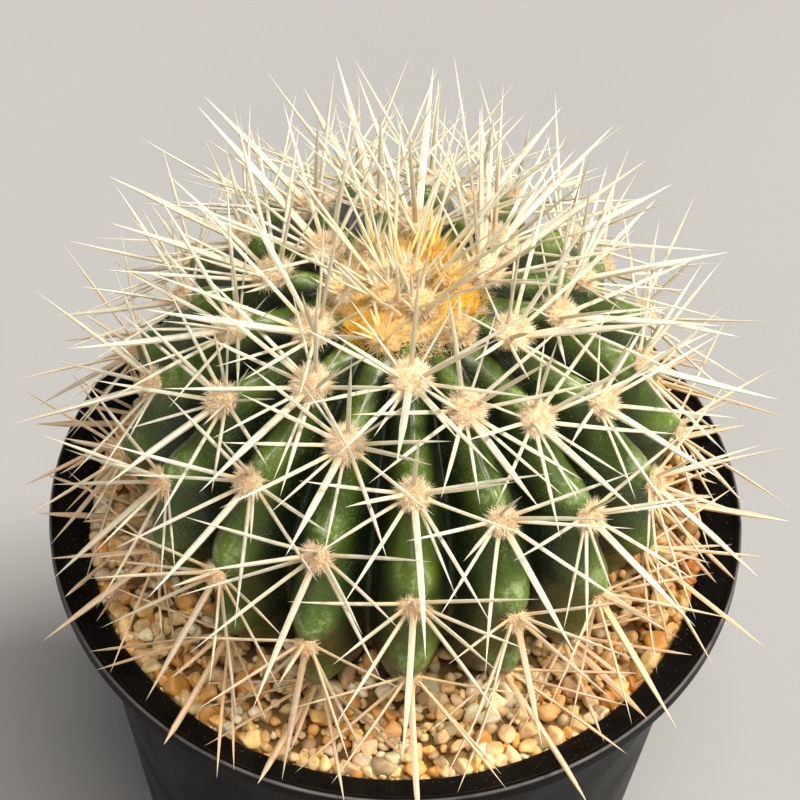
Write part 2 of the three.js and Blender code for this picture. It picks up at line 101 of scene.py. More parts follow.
# Spines: angle from straight down the rib, rise from the skin, length, base radius.
# The first eight are those of the solids, the rest stand between them.
SPINES = [
    (0, 30, 24, 0.72),
    (180, 62, 21, 0.62),
    (88, 54, 22, 0.62),
    (-88, 54, 22, 0.62),
    (38, 22, 21, 0.58),
    (-38, 22, 21, 0.58),
    (104, 22, 19, 0.56),
    (-104, 22, 19, 0.56),
    (70, 24, 20, 0.52),
    (-70, 24, 20, 0.52),
    (17, 14, 16, 0.44),
    (-20, 16, 15, 0.44),
    (136, 26, 13, 0.36),
    (-136, 26, 13, 0.36),
    (170, 34, 9, 0.32),
]
CAD_SPINES = 8
FEW_SPINES = (8, 10)
FEW_SPINES_FROM = (62, 34)
FEW_SPINES_BLUR = 10
CENTRAL_SPINES = 4
CENTRAL_OFFSET = 0.9
RADIAL_OFFSET = 1.9
ANGLE_SPREAD = 9
RISE_SPREAD = 7
LENGTH_SPREAD = 0.12
SPINE_TRIES = 14
SPINE_SPACE = 1.35
FINE_SPINE_SPACE = 1.0
SPINE_LIFT = 0.3
YOUTH_REACH = 24
YOUNG_RISE = 80
YOUNG_RISE_SHARE = 0.45
YOUNG_LENGTH = 0.36
YOUNG_RADIUS = 0.25
OLD_FROM = (30, 60)
OLD_UPWARD_LOSS = 0.45
UPWARD_TURN = 120

# How a spine is bent clear of the gravel, the rim and the crown
SPINE_CLEARANCE = 2.4
RIM_CLEARANCE = 1.2
RIM_MARGIN = 2
CROWN_CLEARANCE = 1.6
BEND_TRIES = 40
BEND_SAMPLES = 24
BEND_STEP = 0.06
BEND_LEVEL = 0.5

# Crown
CROWN_R = 10.3
CROWN_RISE = 1.6
CROWN_SPINES = 36
CROWN_SPINE_LENGTH = 24.0
CROWN_SPINE_R = 0.55
CROWN_ROOT = 2.0
CROWN_ROOT_SPREAD = 0.72
CROWN_LENGTHS = (0.5, 1.1)
CROWN_LEANS = (0.15, 0.9)
CROWN_LEAN_SWING = 0.3
CROWN_TURN_SWING = 0.5
CROWN_TRIES = 40
CROWN_SPACE = 1.7
CROWN_LEAST_SPACE = 1.5
CROWN_OUT_RISE = 1.2
GOLDEN_ANGLE = math.pi * (3 - math.sqrt(5))

# Gravel
GRAVEL_TOP = POT_HEIGHT - 3.7

# Camera, fitted to the rim's ellipse and the areoles of the photograph
CAMERA_RISE = 50.56
CAMERA_ROLL = 2.39
CAMERA_DISTANCE = 498.4
CAMERA_TARGET = (-0.12, 0.0, POT_HEIGHT + 28.92)
LENS = 135.0
SENSOR = 36.0


# Small tools

DRAW_STEPS = (127.1, 311.7, 74.7)
DRAW_SCALE = 43758.5453


def draw(a, b, c):
    """Repeatable draw from 0 to 1 for three whole numbers."""
    i, j, k = DRAW_STEPS
    value = math.sin(SEED + a * i + b * j + c * k) * DRAW_SCALE
    return value - math.floor(value)


def swing(a, b, c):
    return 2 * draw(a, b, c) - 1


def unit(v):
    v = np.asarray(v, float)
    return v / np.linalg.norm(v)


def smoothstep(x, low, high):
    t = np.clip((np.asarray(x, float) - low) / (high - low), 0, 1)
    return t * t * (3 - 2 * t)


def mesh_object(name, vertices, faces, colours=None, smooth=True):
    """Object from millimetre vertices, with an optional colour for each vertex."""
    mesh = bpy.data.meshes.new(name)
    mesh.from_pydata((np.asarray(vertices, float) * MM).tolist(), [], faces)
    mesh.update()
    if smooth:
        mesh.polygons.foreach_set("use_smooth", [True] * len(mesh.polygons))
    if colours is not None:
        layer = mesh.color_attributes.new("tint", "FLOAT_COLOR", "POINT")
        rgba = np.ones((len(vertices), 4), np.float32)
        rgba[:, :3] = colours
        layer.data.foreach_set("color", rgba.ravel())
    obj = bpy.data.objects.new(name, mesh)
    bpy.context.scene.collection.objects.link(obj)
    return obj


class Batch:
    """Collects many small closed pieces into one mesh."""

    def __init__(self):
        self.vertices, self.faces, self.colours = [], [], []
        self.count = 0

    def add(self, vertices, faces, colours):
        self.vertices.append(vertices)
        self.faces.append(np.asarray(faces) + self.count)
        self.colours.append(np.broadcast_to(colours, (len(vertices), 3)))
        self.count += len(vertices)

    def build(self, name, smooth=True):
        faces = [tuple(face) for block in self.faces for face in block.tolist()]
        vertices = np.concatenate(self.vertices)
        return mesh_object(name, vertices, faces, np.concatenate(self.colours), smooth)


def ico_sphere(level):
    """Unit icosphere as vertices and triangles."""
    t = (1 + math.sqrt(5)) / 2
    v = [(-1, t, 0), (1, t, 0), (-1, -t, 0), (1, -t, 0), (0, -1, t), (0, 1, t)]
    v += [(0, -1, -t), (0, 1, -t), (t, 0, -1), (t, 0, 1), (-t, 0, -1), (-t, 0, 1)]
    f = [(0, 11, 5), (0, 5, 1), (0, 1, 7), (0, 7, 10), (0, 10, 11), (1, 5, 9), (5, 11, 4)]
    f += [(11, 10, 2), (10, 7, 6), (7, 1, 8), (3, 9, 4), (3, 4, 2), (3, 2, 6), (3, 6, 8)]
    f += [(3, 8, 9), (4, 9, 5), (2, 4, 11), (6, 2, 10), (8, 6, 7), (9, 8, 1)]
    v = [unit(p) for p in v]
    for _ in range(level):
        middles = {}
        finer = []

        def middle(a, b):
            key = (min(a, b), max(a, b))
            if key not in middles:
                middles[key] = len(v)
                v.append(unit(v[a] + v[b]))
            return middles[key]

        for a, b, c in f:
            ab, bc, ca = middle(a, b), middle(b, c), middle(c, a)
            finer += [(a, ab, ca), (b, bc, ab), (c, ca, bc), (ab, bc, ca)]
        f = finer
    return np.array(v), np.array(f)


WAVES = 5
WAVE_PHASES = 6.28
WAVE_SCALES = (0.7, 0.35)


def ripple(points, scale, seed):
    """Smooth pseudo-noise from -1 to 1 from a few crossed waves."""
    total = np.zeros(len(points))
    for k in range(WAVES):
        direction = unit([swing(seed, k, axis) for axis in (1, 2, 3)])
        phase = WAVE_PHASES * draw(seed, k, 4)
        total += np.sin(points @ direction * scale * added(WAVE_SCALES, k) + phase)
    return total / WAVES


def mixed(a, b, share):
    return a * (1 - share) + b * share


def part_way(limits, share):
    return limits[0] + (limits[1] - limits[0]) * share


def added(pair, share):
    """The first of the pair, and this share of the second on top."""
    return pair[0] + pair[1] * share


def band(a, b, count, flip=False):
    """Quads between two rings of vertices, whose first ones are a and b."""
    faces = []
    for i in range(count):
        k = (i + 1) % count
        faces.append((a + i, a + k, b + k, b + i) if flip else (a + i, b + i, b + k, a + k))
    return faces


def tube(rings, count, start, end, flip=False):
    """Faces of a closed surface of rings that narrow to the vertices start and end."""
    last = (rings - 1) * count
    faces = []
    for a in range(0, last, count):
        faces += band(a, a + count, count, flip)
    for i in range(count):
        a, b = i, (i + 1) % count
        if flip:
            a, b = b, a
        faces += [(start, a, b), (end, last + b, last + a)]
    return faces


# Shape rules of the plant

SHELL_STEPS = 2000
SHELL_TURN = np.linspace(0, SHELL_END, SHELL_STEPS + 1)
SHELL_HALF = np.where(SHELL_TURN < math.pi / 2, BODY_UPPER, BODY_LOWER)
SHELL_R = BODY_R * np.sin(SHELL_TURN)
SHELL_Z = BODY_MID_Z + SHELL_HALF * np.cos(SHELL_TURN)
SHELL_S = np.concatenate([[0], np.cumsum(np.hypot(np.diff(SHELL_R), np.diff(SHELL_Z)))])
SHELL_LENGTH = SHELL_S[-1]
SLOPE_STEP = 0.02


def shell_at(s):
    """Radius, height and unit slope of the crest shell at distance s from the top."""
    s = np.clip(s, 0, SHELL_LENGTH)
    low, high = np.clip([s - SLOPE_STEP, s + SLOPE_STEP], 0, SHELL_LENGTH)
    dr = np.interp(high, SHELL_S, SHELL_R) - np.interp(low, SHELL_S, SHELL_R)
    dz = np.interp(high, SHELL_S, SHELL_Z) - np.interp(low, SHELL_S, SHELL_Z)
    size = np.hypot(dr, dz)
    return np.interp(s, SHELL_S, SHELL_R), np.interp(s, SHELL_S, SHELL_Z), dr / size, dz / size


def first_areole(rib):
    """Distance from the top of a rib's youngest areole, on the spiral that they all follow."""
    turns = SPIRAL_PHASE + SPIRAL_STEP * rib
    return AREOLE_PITCH * (turns - math.floor(turns))


def areole_distances(rib):
    s = first_areole(rib)
    distances = []
    while shell_at(s)[1] > LOWEST_AREOLE_Z:
        if s > CROWN_LIMIT:
            distances.append(s)
        s += AREOLE_PITCH
    return distances


AREOLE_ROWS = [areole_distances(rib) for rib in range(RIBS)]


def rib_at(angle):
    """Nearest rib, and how far the place is from its crest: 0 on it, 1 in the groove."""
    turns = (angle - RIB_ZERO) * RIBS / (2 * math.pi)
    rib = round(turns)
    return rib % RIBS, min(1, 2 * abs(turns - rib))


def near_areole(s, rib, offset, length):
    """1 at a fixed offset from one of the rib's areoles, falling to 0 away from it."""
    return max([0, *(math.exp(-(((s - d - offset) / length) ** 2)) for d in AREOLE_ROWS[rib])])


def skin(s, angle):
    """Radius and height of the ribbed skin at one distance from the top and one longitude."""
    r, z, dr, dz = shell_at(s)
    rib, across = rib_at(angle)
    crest = 1 - across**RIB_ROUNDNESS
    depth = GROOVE_SHARE * r * smoothstep(s, GROOVE_START, GROOVE_FULL)
    bare = smoothstep(s, CROWN_R, CROWN_R + CHIN_RISE)
    chin = CHIN * bare * crest * near_areole(s, rib, CHIN_OFFSET, CHIN_LENGTH)
    dimple = CROWN_DIMPLE * math.exp(-((s / CROWN_DIMPLE_R) ** 2))
    sunk = smoothstep(s, *INSET_RISE) - smoothstep(s, *INSET_FALL)
    out = chin - depth * (1 - crest) - dimple - SKIN_INSET * sunk
    return max(0, r - dz * out), z + dr * out


def areole_frame(rib, s, key):
    """Place and directions of an areole at distance s from the top of a rib."""
    angle = RIB_ZERO + 2 * math.pi * rib / RIBS
    _, _, dr, dz = shell_at(s)
    r, z = skin(s, angle)
    sin, cos = math.sin(angle), math.cos(angle)
    return {
        "key": key,
        "s": s,
        "at": np.array([r * sin, -r * cos, z]),
        "out": np.array([-dz * sin, dz * cos, dr]),
        "down": np.array([dr * sin, -dr * cos, dz]),
        "side": np.array([cos, sin, 0.0]),
    }


def body_areoles():
    return [
        areole_frame(rib, s, rib * RIB_KEYS + row)
        for rib, distances in enumerate(AREOLE_ROWS)
        for row, s in enumerate(distances)
    ]


def crown_areoles():
    """Young areoles inside the woolly crown, on the same spiral."""
    firsts = enumerate(first_areole(rib) for rib in range(RIBS))
    return [areole_frame(rib, s, YOUNG_KEY + rib) for rib, s in firsts if s <= CROWN_LIMIT]


def floor_at(r):
    on_gravel = GRAVEL_TOP + SPINE_CLEARANCE
    return np.where(r < WALL_TOP_R - WALL - RIM_MARGIN, on_gravel, POT_HEIGHT + RIM_CLEARANCE)


def crown_reach(points):
    middle = BODY_MID_Z + BODY_UPPER - CROWN_DIMPLE
    across = np.hypot(points[:, 0], points[:, 1]) / (CROWN_R + CROWN_CLEARANCE)
    above = (points[:, 2] - middle) / (CROWN_DIMPLE + CROWN_RISE + CROWN_CLEARANCE)
    return np.hypot(across, above)


def bent_clear(spine):
    """Lifts a spine off the gravel and rim, and turns it away from the crown."""
    out = spine["out"]
    level = unit([out[0], out[1], 0])
    away = unit(level + out)
    lift = BEND_LEVEL * level + np.array([0, 0, 1.0])
    steps = np.arange(1, BEND_SAMPLES + 1)[:, None] / BEND_SAMPLES
    direction = spine["direction"]
    for _ in range(BEND_TRIES):
        points = spine["root"] + steps * spine["length"] * direction
        low = (points[:, 2] < floor_at(np.hypot(points[:, 0], points[:, 1]))).any()
        in_crown = (crown_reach(points) < 1).any()
        if not low and not in_crown:
            break
        direction = unit(direction + BEND_STEP * (lift if low else away))
    return {**spine, "direction": direction}


def youth_at(s):
    """1 at the top of the plant, falling to 0 on its old flanks."""
    return math.exp(-((s / YOUTH_REACH) ** 2))


def spine_of(areole, i, attempt):
    turn, rise, length, radius = SPINES[i]
    key = areole["key"]
    youth = youth_at(areole["s"])
    old = float(smoothstep(areole["s"], *OLD_FROM))
    angle = math.radians(turn + ANGLE_SPREAD * swing(key, i, 3 * attempt + 1))
    young_rise = rise + (YOUNG_RISE - rise) * YOUNG_RISE_SHARE * youth
    up = math.radians(young_rise + RISE_SPREAD * swing(key, i, 3 * attempt + 2))
    loss = OLD_UPWARD_LOSS * old if abs(turn) > UPWARD_TURN else 0
    grown = (1 + YOUNG_LENGTH * youth - loss) * (1 + LENGTH_SPREAD * swing(key, i, 3))
    along = areole["down"] * math.cos(angle) + areole["side"] * math.sin(angle)
    direction = unit(along * math.cos(up) + areole["out"] * math.sin(up))
    offset = CENTRAL_OFFSET if i < CENTRAL_SPINES else RADIAL_OFFSET
    return bent_clear({
        "key": key,
        "s": areole["s"],
        "rank": i,
        "root": areole["at"] + along * offset + areole["out"] * SPINE_LIFT,
        "out": areole["out"],
        "direction": direction,
        "length": length * grown,
        "radius": radius * (1 + YOUNG_RADIUS * youth),
    })


FAR_GAP = 3
PARALLEL = 1e-9


class Placed:
    """Spines that are already there, as arrays for the distance test."""

    def __init__(self, room):
        self.root = np.zeros((room, 3))
        self.direction = np.zeros((room, 3))
        self.length = np.zeros(room)
        self.key = np.zeros(room, int)
        self.spines = []

    def add(self, spine):
        n = len(self.spines)
        self.root[n] = spine["root"]
        self.direction[n] = spine["direction"]
        self.length[n] = spine["length"]
        self.key[n] = spine["key"]
        self.spines.append(spine)

    def clearance(self, spine):
        n = len(self.spines)
        near = self.key[:n] != spine["key"]
        between = spine["root"] - self.root[:n]
        reach = self.length[:n] + spine["length"] + FAR_GAP
        near &= np.linalg.norm(between, axis=1) <= reach
        if not near.any():
            return math.inf
        between = between[near]
        directions = self.direction[:n][near]
        lengths = self.length[:n][near]
        d = spine["direction"]
        cos = directions @ d
        along_a = between @ d
        along_b = (between * directions).sum(1)
        slope = np.maximum(1 - cos * cos, PARALLEL)
        on_a = np.clip((cos * along_b - along_a) / slope, 0, spine["length"])
        on_b = np.clip(cos * on_a + along_b, 0, lengths)
        on_a = np.clip(cos * on_b - along_a, 0, spine["length"])
        gap = between + on_a[:, None] * d - on_b[:, None] * directions
        return float(np.linalg.norm(gap, axis=1).min())


def freest(placed, tries, space):
    """First spine with this much space round it, or else the one with the most."""
    best, best_clear = None, -1
    for spine in tries:
        clear = placed.clearance(spine)
        if clear > best_clear:
            best, best_clear = spine, clear
        if clear > space:
            break
    return best, best_clear


def place_spines(areoles):
    """The spines of the solids first, then the crown's, then the fine ones between them."""
    placed = Placed(len(areoles) * len(SPINES) + CROWN_SPINES)
    for i in range(len(SPINES)):
        if i == CAD_SPINES:
            for spine in crown_spines(placed):
                placed.add(spine)
        space = SPINE_SPACE if i < CAD_SPINES else FINE_SPINE_SPACE
        for areole in areoles:
            s = areole["s"] + FEW_SPINES_BLUR * swing(areole["key"], i, 60)
            if any(i >= few and s > start for few, start in zip(FEW_SPINES, FEW_SPINES_FROM)):
                continue
            tries = (spine_of(areole, i, attempt) for attempt in range(SPINE_TRIES))
            placed.add(freest(placed, tries, space)[0])
    return placed.spines


def crown_spine(i, attempt):
    share = math.sqrt((i + 0.5) / CROWN_SPINES)
    around = i * GOLDEN_ANGLE
    reach = CROWN_ROOT_SPREAD * CROWN_R * share
    height = skin(reach, RIB_ZERO)[1] + CROWN_ROOT
    length = CROWN_SPINE_LENGTH * part_way(CROWN_LENGTHS, share)
    lean = part_way(CROWN_LEANS, share) + CROWN_LEAN_SWING * swing(i, 92, attempt)
    turn = around + CROWN_TURN_SWING * swing(i, 93, attempt)
    return {
        "key": CROWN_KEY + i,
        "s": reach,
        "rank": -1,
        "root": np.array([reach * math.sin(around), -reach * math.cos(around), height]),
        "out": unit([math.sin(around), -math.cos(around), CROWN_OUT_RISE]),
        "direction": unit([math.sin(turn) * lean, -math.cos(turn) * lean, 1]),
        "length": length * (1 + LENGTH_SPREAD * swing(i, 91, 3)),
        "radius": CROWN_SPINE_R,
    }


def crown_spines(placed):
    spines = []
    for i in range(CROWN_SPINES):
        tries = (crown_spine(i, attempt) for attempt in range(CROWN_TRIES))
        spine, clear = freest(placed, tries, CROWN_SPACE)
        if clear > CROWN_LEAST_SPACE:
            spines.append(spine)
    return spines


# Meshes of the plant

# Painted light and shade on the skin: near black in the grooves, lighter on the crests, and a
# painted highlight on the swelling above each areole
SHADED_GROOVE_GREEN = np.array([0.006, 0.012, 0.0015])
LIT_CREST_GREEN = np.array([0.05, 0.085, 0.008])
HIGHLIGHT_GREEN = np.array([0.115, 0.18, 0.02])
ROOT_TAN = np.array([0.16, 0.11, 0.06])
HIGHLIGHT_OFFSET = -4.2
HIGHLIGHT_LENGTH = 3.4
HIGHLIGHT_ACROSS = (0.15, 0.7)
HIGHLIGHT_SHARE = 0.8
LIT_CREST_ACROSS = (0.25, 0.78)
BURIED = (107, 117)
ROW_CROWDING = 0.92
LEAST_SWELL_R = 8


def skin_tint(s, angle):
    """Painted shade in the grooves, lighter green on the crests, a painted highlight on the
    swelling above each areole, tan under the gravel.
    """
    rib, across = rib_at(angle)
    # Painted highlight on the swelling above each areole
    above = near_areole(s, rib, HIGHLIGHT_OFFSET, HIGHLIGHT_LENGTH)
    highlight = above * (1 - smoothstep(across, *HIGHLIGHT_ACROSS))
    # Painted shade: darker towards the grooves, lighter on the crests
    crest = 1 - smoothstep(across, *LIT_CREST_ACROSS)
    green = SHADED_GROOVE_GREEN + (LIT_CREST_GREEN - SHADED_GROOVE_GREEN) * crest
    green = green + (HIGHLIGHT_GREEN - green) * HIGHLIGHT_SHARE * highlight
    return green + (ROOT_TAN - green) * smoothstep(s, *BURIED)


def make_skin():
    """The ribbed green body, down to its taproot."""
    count = SKIN_COLUMNS
    s = np.linspace(0, 1, SKIN_ROWS) ** ROW_CROWDING * SHELL_LENGTH
    angles = RIB_ZERO + 2 * math.pi * np.arange(count) / count
    rows = []
    tints = []
    for distance in s[1:]:
        rows.append([skin(distance, angle) for angle in angles])
        tints.append([skin_tint(distance, angle) for angle in angles])
    for r, z in TAPROOT[:-1]:
        rows.append([(r, POT_HEIGHT + z)] * count)
        tints.append([ROOT_TAN] * count)
    r, z = np.moveaxis(np.array(rows), -1, 0)
    x, y = r * np.sin(angles), -r * np.cos(angles)
    points = np.stack([x, y, z], axis=-1).reshape(-1, 3)
    swell = 0.3 * ripple(points, 0.5, 31) + 0.12 * ripple(points, 1.5, 32)
    level = np.hypot(points[:, 0], points[:, 1])[:, None]
    points[:, :2] *= 1 + swell[:, None] / np.maximum(level, LEAST_SWELL_R)
    top = len(points)
    centre_top = [0, 0, skin(0, RIB_ZERO)[1]]
    centre_bottom = [0, 0, POT_HEIGHT + TAPROOT[-1][1]]
    points = np.vstack([points, centre_top, centre_bottom])
    faces = tube(len(rows), count, top, top + 1)
    tints = np.vstack([np.array(tints).reshape(-1, 3), tints[0][0], ROOT_TAN])
    return mesh_object("cactus_skin", points, faces, tints)


SPINE_STEPS = (0.1, 0.24, 0.42, 0.58, 0.72, 0.84, 0.94)
SPINE_SIDES = 6
DRAWN_LENGTH = 0.985
YOUNG_WHITE = np.array([0.64, 0.605, 0.49])
OLD_TAN = np.array([0.64, 0.43, 0.265])
BASE_TAN = np.array([0.74, 0.5, 0.24])
BASE_GOLD = np.array([1.0, 0.62, 0.05])
TIP_PALE = np.array([0.74, 0.68, 0.53])
TAN_FROM = (44, 82)
STRAW_TO = (5, 16)
SHAFT_TONES = (0.9, 0.16)
BASE_START = 0.02
TIP_START = 0.8
TIP_SHARE = 0.5
STOUT_FROM = (66, 84)
SPINE_BENDS = (0.035, 0.03)
SPINE_FLATNESS = 0.7
MAIN_WIDTH = 0.86
SPINE_WIDTH = 0.64
STOUT_WIDTH = 0.1
SHAFT_TAPER = 0.2
TIP_TAPER = 0.42
OLD_TIP_TAPER = 0.34
SPEAR_RANK = -2


def spine_colours(spine, t):
    """Colour along a spine: older spines are tan, and roots are warmer than tips."""
    age = float(smoothstep(spine["s"], *TAN_FROM))
    tone = added(SHAFT_TONES, draw(spine["key"], spine["rank"] + 2, 77))
    shaft = mixed(YOUNG_WHITE, OLD_TAN, age) * tone
    crown = float(1 - smoothstep(spine["s"], *STRAW_TO))
    gold = float(tuft_gold(spine["root"][None])[0]) * crown
    base = BASE_TAN * (1 - crown) + CROWN_STRAW * (crown - gold) + BASE_GOLD * gold
    reach = 0.2 + 0.14 * age + 0.25 * crown + 0.55 * gold * (spine["rank"] == SPEAR_RANK)
    near_base = (1 - smoothstep(t, BASE_START, reach))[:, None] * (0.75 + 0.25 * max(age, crown))
    near_tip = smoothstep(t, TIP_START, 1.0)[:, None] * TIP_SHARE
    colour = mixed(shaft, base, near_base)
    return colour * (1 - near_tip) + TIP_PALE * (1 - 0.35 * age) * near_tip


def spine_mesh(spine, sink):
    """Flattened, faintly bent needle with a long shaft and a short sharp tip."""
    d, out = spine["direction"], spine["out"]
    wide = unit(np.cross(d, out) + 1e-6)
    thick = np.cross(wide, d)
    bend = SPINE_BENDS[0] * swing(spine["key"], spine["rank"], 55) * thick
    bend = bend + SPINE_BENDS[1] * swing(spine["key"], spine["rank"], 56) * wide
    length = DRAWN_LENGTH * spine["length"]
    t = np.array([-sink / length, *SPINE_STEPS])
    age = float(smoothstep(spine["s"], *STOUT_FROM))
    share = (MAIN_WIDTH if spine["rank"] == 0 else SPINE_WIDTH) + STOUT_WIDTH * age
    width = spine["radius"] * share * (1 - SHAFT_TAPER * np.clip(t, 0, 1))
    chance = 0.3 + 0.7 * draw(spine["key"], spine["rank"] + 3, 58)
    taper = TIP_TAPER - OLD_TIP_TAPER * age * chance
    width = width * np.minimum(1, (1 - t) / taper) ** 0.9
    centre = spine["root"] + length * (t[:, None] * d + (t[:, None] ** 2) * bend)
    turn = 2 * math.pi * (np.arange(SPINE_SIDES) + 0.5) / SPINE_SIDES
    ring = np.cos(turn)[:, None] * wide + SPINE_FLATNESS * np.sin(turn)[:, None] * thick
    points = (centre[:, None, :] + width[:, None, None] * ring[None]).reshape(-1, 3)
    tip = spine["root"] + length * (d + bend)
    points = np.vstack([points, centre[0], tip])
    start = len(points) - 2
    sides = tube(len(t), SPINE_SIDES, start, start + 1, flip=True)
    faces = [(side[0], side[i], side[i + 1]) for side in sides for i in range(1, len(side) - 1)]
    colours = spine_colours(spine, np.clip(t, 0, 1))
    colours = np.vstack([np.repeat(colours, SPINE_SIDES, axis=0), colours[:1], TIP_PALE])
    return points, faces, colours


HAIR_FACES = np.array([(0, 2, 1), (0, 1, 3), (1, 2, 3), (2, 0, 3)])
HAIR_TURNS = (0, 2.094, 4.189)
HAIR_ASIDE = (0.31, 0.52, 0.79)


def units(vectors):
    return vectors / np.linalg.norm(vectors, axis=1)[:, None]


def add_hairs(batch, roots, directions, lengths, radii, colours):
    """Adds tiny closed three-sided hairs, one for each root."""
    side = units(np.cross(directions, HAIR_ASIDE))
    other = np.cross(directions, side)
    points = np.empty((len(roots), 4, 3))
    for k, turn in enumerate(HAIR_TURNS):
        around = math.cos(turn) * side + math.sin(turn) * other
        points[:, k] = roots + radii[:, None] * around
    points[:, 3] = roots + lengths[:, None] * directions
    faces = HAIR_FACES[None] + 4 * np.arange(len(roots))[:, None, None]
    batch.add(points.reshape(-1, 3), faces.reshape(-1, 3), np.repeat(colours, 4, axis=0))


# Where on the crown the youngest tufts are golden, as x and y, and how far each reaches
GOLD_TUFTS = np.array([(-6.3, -8.6), (8.2, -2.6), (4.0, 7.2)])
TUFT_REACH = 4.9
MOUND_R = 12.3
MOUND_RISE = 1.9
MOUND_HAIRS = 9000
MOUND_DROP = 0.6
HAIRY_R = MOUND_R * 1.08
MOUND_HAIR_LENGTHS = (0.9, 2.0)
MOUND_HAIR_R = 0.06
YOUNG_CUSHION = (2.3, 1.8, 1300)
YOUNG_LIFT = (1.2, 1.6)
YOUNGEST = 8
# A cushion's radius, height and hairs: on an old areole, then what youth and the crown add
WOOL_RADII = (1.3, 1.55, 0.8)
WOOL_HEIGHTS = (1.1, 1.15, 0.4)
WOOL_HAIRS = (300, 950, 350)
WOOL_LIFT = 0.35
YOUNG_WOOL_TO = (22, 84)
YOUNG_CENTRE = 0.6
WOOL_SPLIT = 40
WOOL_CORE = 0.86
HAIR_ROOTS = 0.86
HAIR_LENGTHS = (0.6, 1.3)
HAIR_RADII = (0.05, 0.026)
HAIR_TANGLE = (0.45, 0.85)
WOOL_CREAM = np.array([0.99, 0.86, 0.63])
WOOL_TAN = np.array([0.97, 0.74, 0.46])
WOOL_ORANGE = np.array([0.86, 0.5, 0.2])
WOOL_GOLD = np.array([1.0, 0.6, 0.025])
CROWN_STRAW = np.array([0.98, 0.76, 0.4])


def tuft_gold(points):
    """1 in the middle of a golden tuft, falling to 0 away from them."""
    away = np.linalg.norm(points[:, None, :2] - GOLD_TUFTS[None], axis=2).min(1)
    return np.exp(-((away / TUFT_REACH) ** 2))


def wool_ball(batch, areole, radius, height, hairs, colour, centre_colour):
    """Felted cushion: a lumpy dome that bristles with fine hairs."""
    sphere, faces = ICO_2
    key = areole["key"]
    lumps = 1 + 0.14 * ripple(sphere * 3 + key, 1.6, 41) + 0.12 * ripple(sphere * 8 + key, 2.0, 42)
    basis = np.stack([areole["side"], -areole["down"], areole["out"]])
    size = np.array([radius, radius, height])
    local = sphere * lumps[:, None] * size * WOOL_CORE
    points = areole["at"] + local @ basis
    middle = np.clip(1.25 - np.hypot(local[:, 0], local[:, 1]) / radius * 1.7, 0, 1)[:, None]
    middle = middle * (sphere[:, 2:] > 0)
    shade = 0.92 + 0.2 * ripple(sphere * 5 + key, 3.0, 43)[:, None]
    batch.add(points, faces, mixed(colour, centre_colour, middle) * shade)
    spread = RNG.normal(size=(hairs, 3))
    spread[:, 2] = np.abs(spread[:, 2]) * 0.9 + 0.02
    spread = units(spread)
    chance = RNG.random((hairs, 5))
    roots = areole["at"] + (spread * size * HAIR_ROOTS) @ basis
    tangle = added(HAIR_TANGLE, chance[:, :1])
    leans = units(spread * [1, 1, 0.8] + tangle * RNG.normal(size=(hairs, 3))) @ basis
    near = np.clip(1 - np.hypot(spread[:, 0], spread[:, 1]) * 1.5, 0, 1)[:, None]
    near = near * (0.5 + 0.9 * chance[:, 1:2])
    tints = mixed(colour, centre_colour, near)
    tints = tints * (0.88 + 0.24 * chance[:, 2:3])
    lengths = added(HAIR_LENGTHS, chance[:, 3] ** 1.5)
    add_hairs(batch, roots, leans, lengths, added(HAIR_RADII, chance[:, 4]), tints)


def make_areole_wool(name, areoles):
    batch = Batch()
    for areole in areoles:
        young = float(1 - smoothstep(areole["s"], *YOUNG_WOOL_TO))
        youth = youth_at(areole["s"])
        radius, height, hairs = (
            base + by_young * young + by_youth * youth
            for base, by_young, by_youth in (WOOL_RADII, WOOL_HEIGHTS, WOOL_HAIRS)
        )
        radius += 0.2 * swing(areole["key"], 70, 1)
        colour = mixed(WOOL_TAN, WOOL_CREAM, young)
        centre = WOOL_ORANGE * (1 - YOUNG_CENTRE * young) + WOOL_CREAM * YOUNG_CENTRE * young
        raised = {**areole, "at": areole["at"] + areole["out"] * WOOL_LIFT * young}
        wool_ball(batch, raised, radius, height, int(hairs), colour, centre)
    return batch.build(name, smooth=False)


def crown_mound(distance, angle):
    """Point on the crown's felt: a low mound that goes down into the skin at its edge."""
    r, z = skin(distance, RIB_ZERO)
    share = distance / MOUND_R
    rise = MOUND_RISE * (1 - share**4) - MOUND_DROP * share
    return np.array([r * math.sin(angle), -r * math.cos(angle), z + rise])


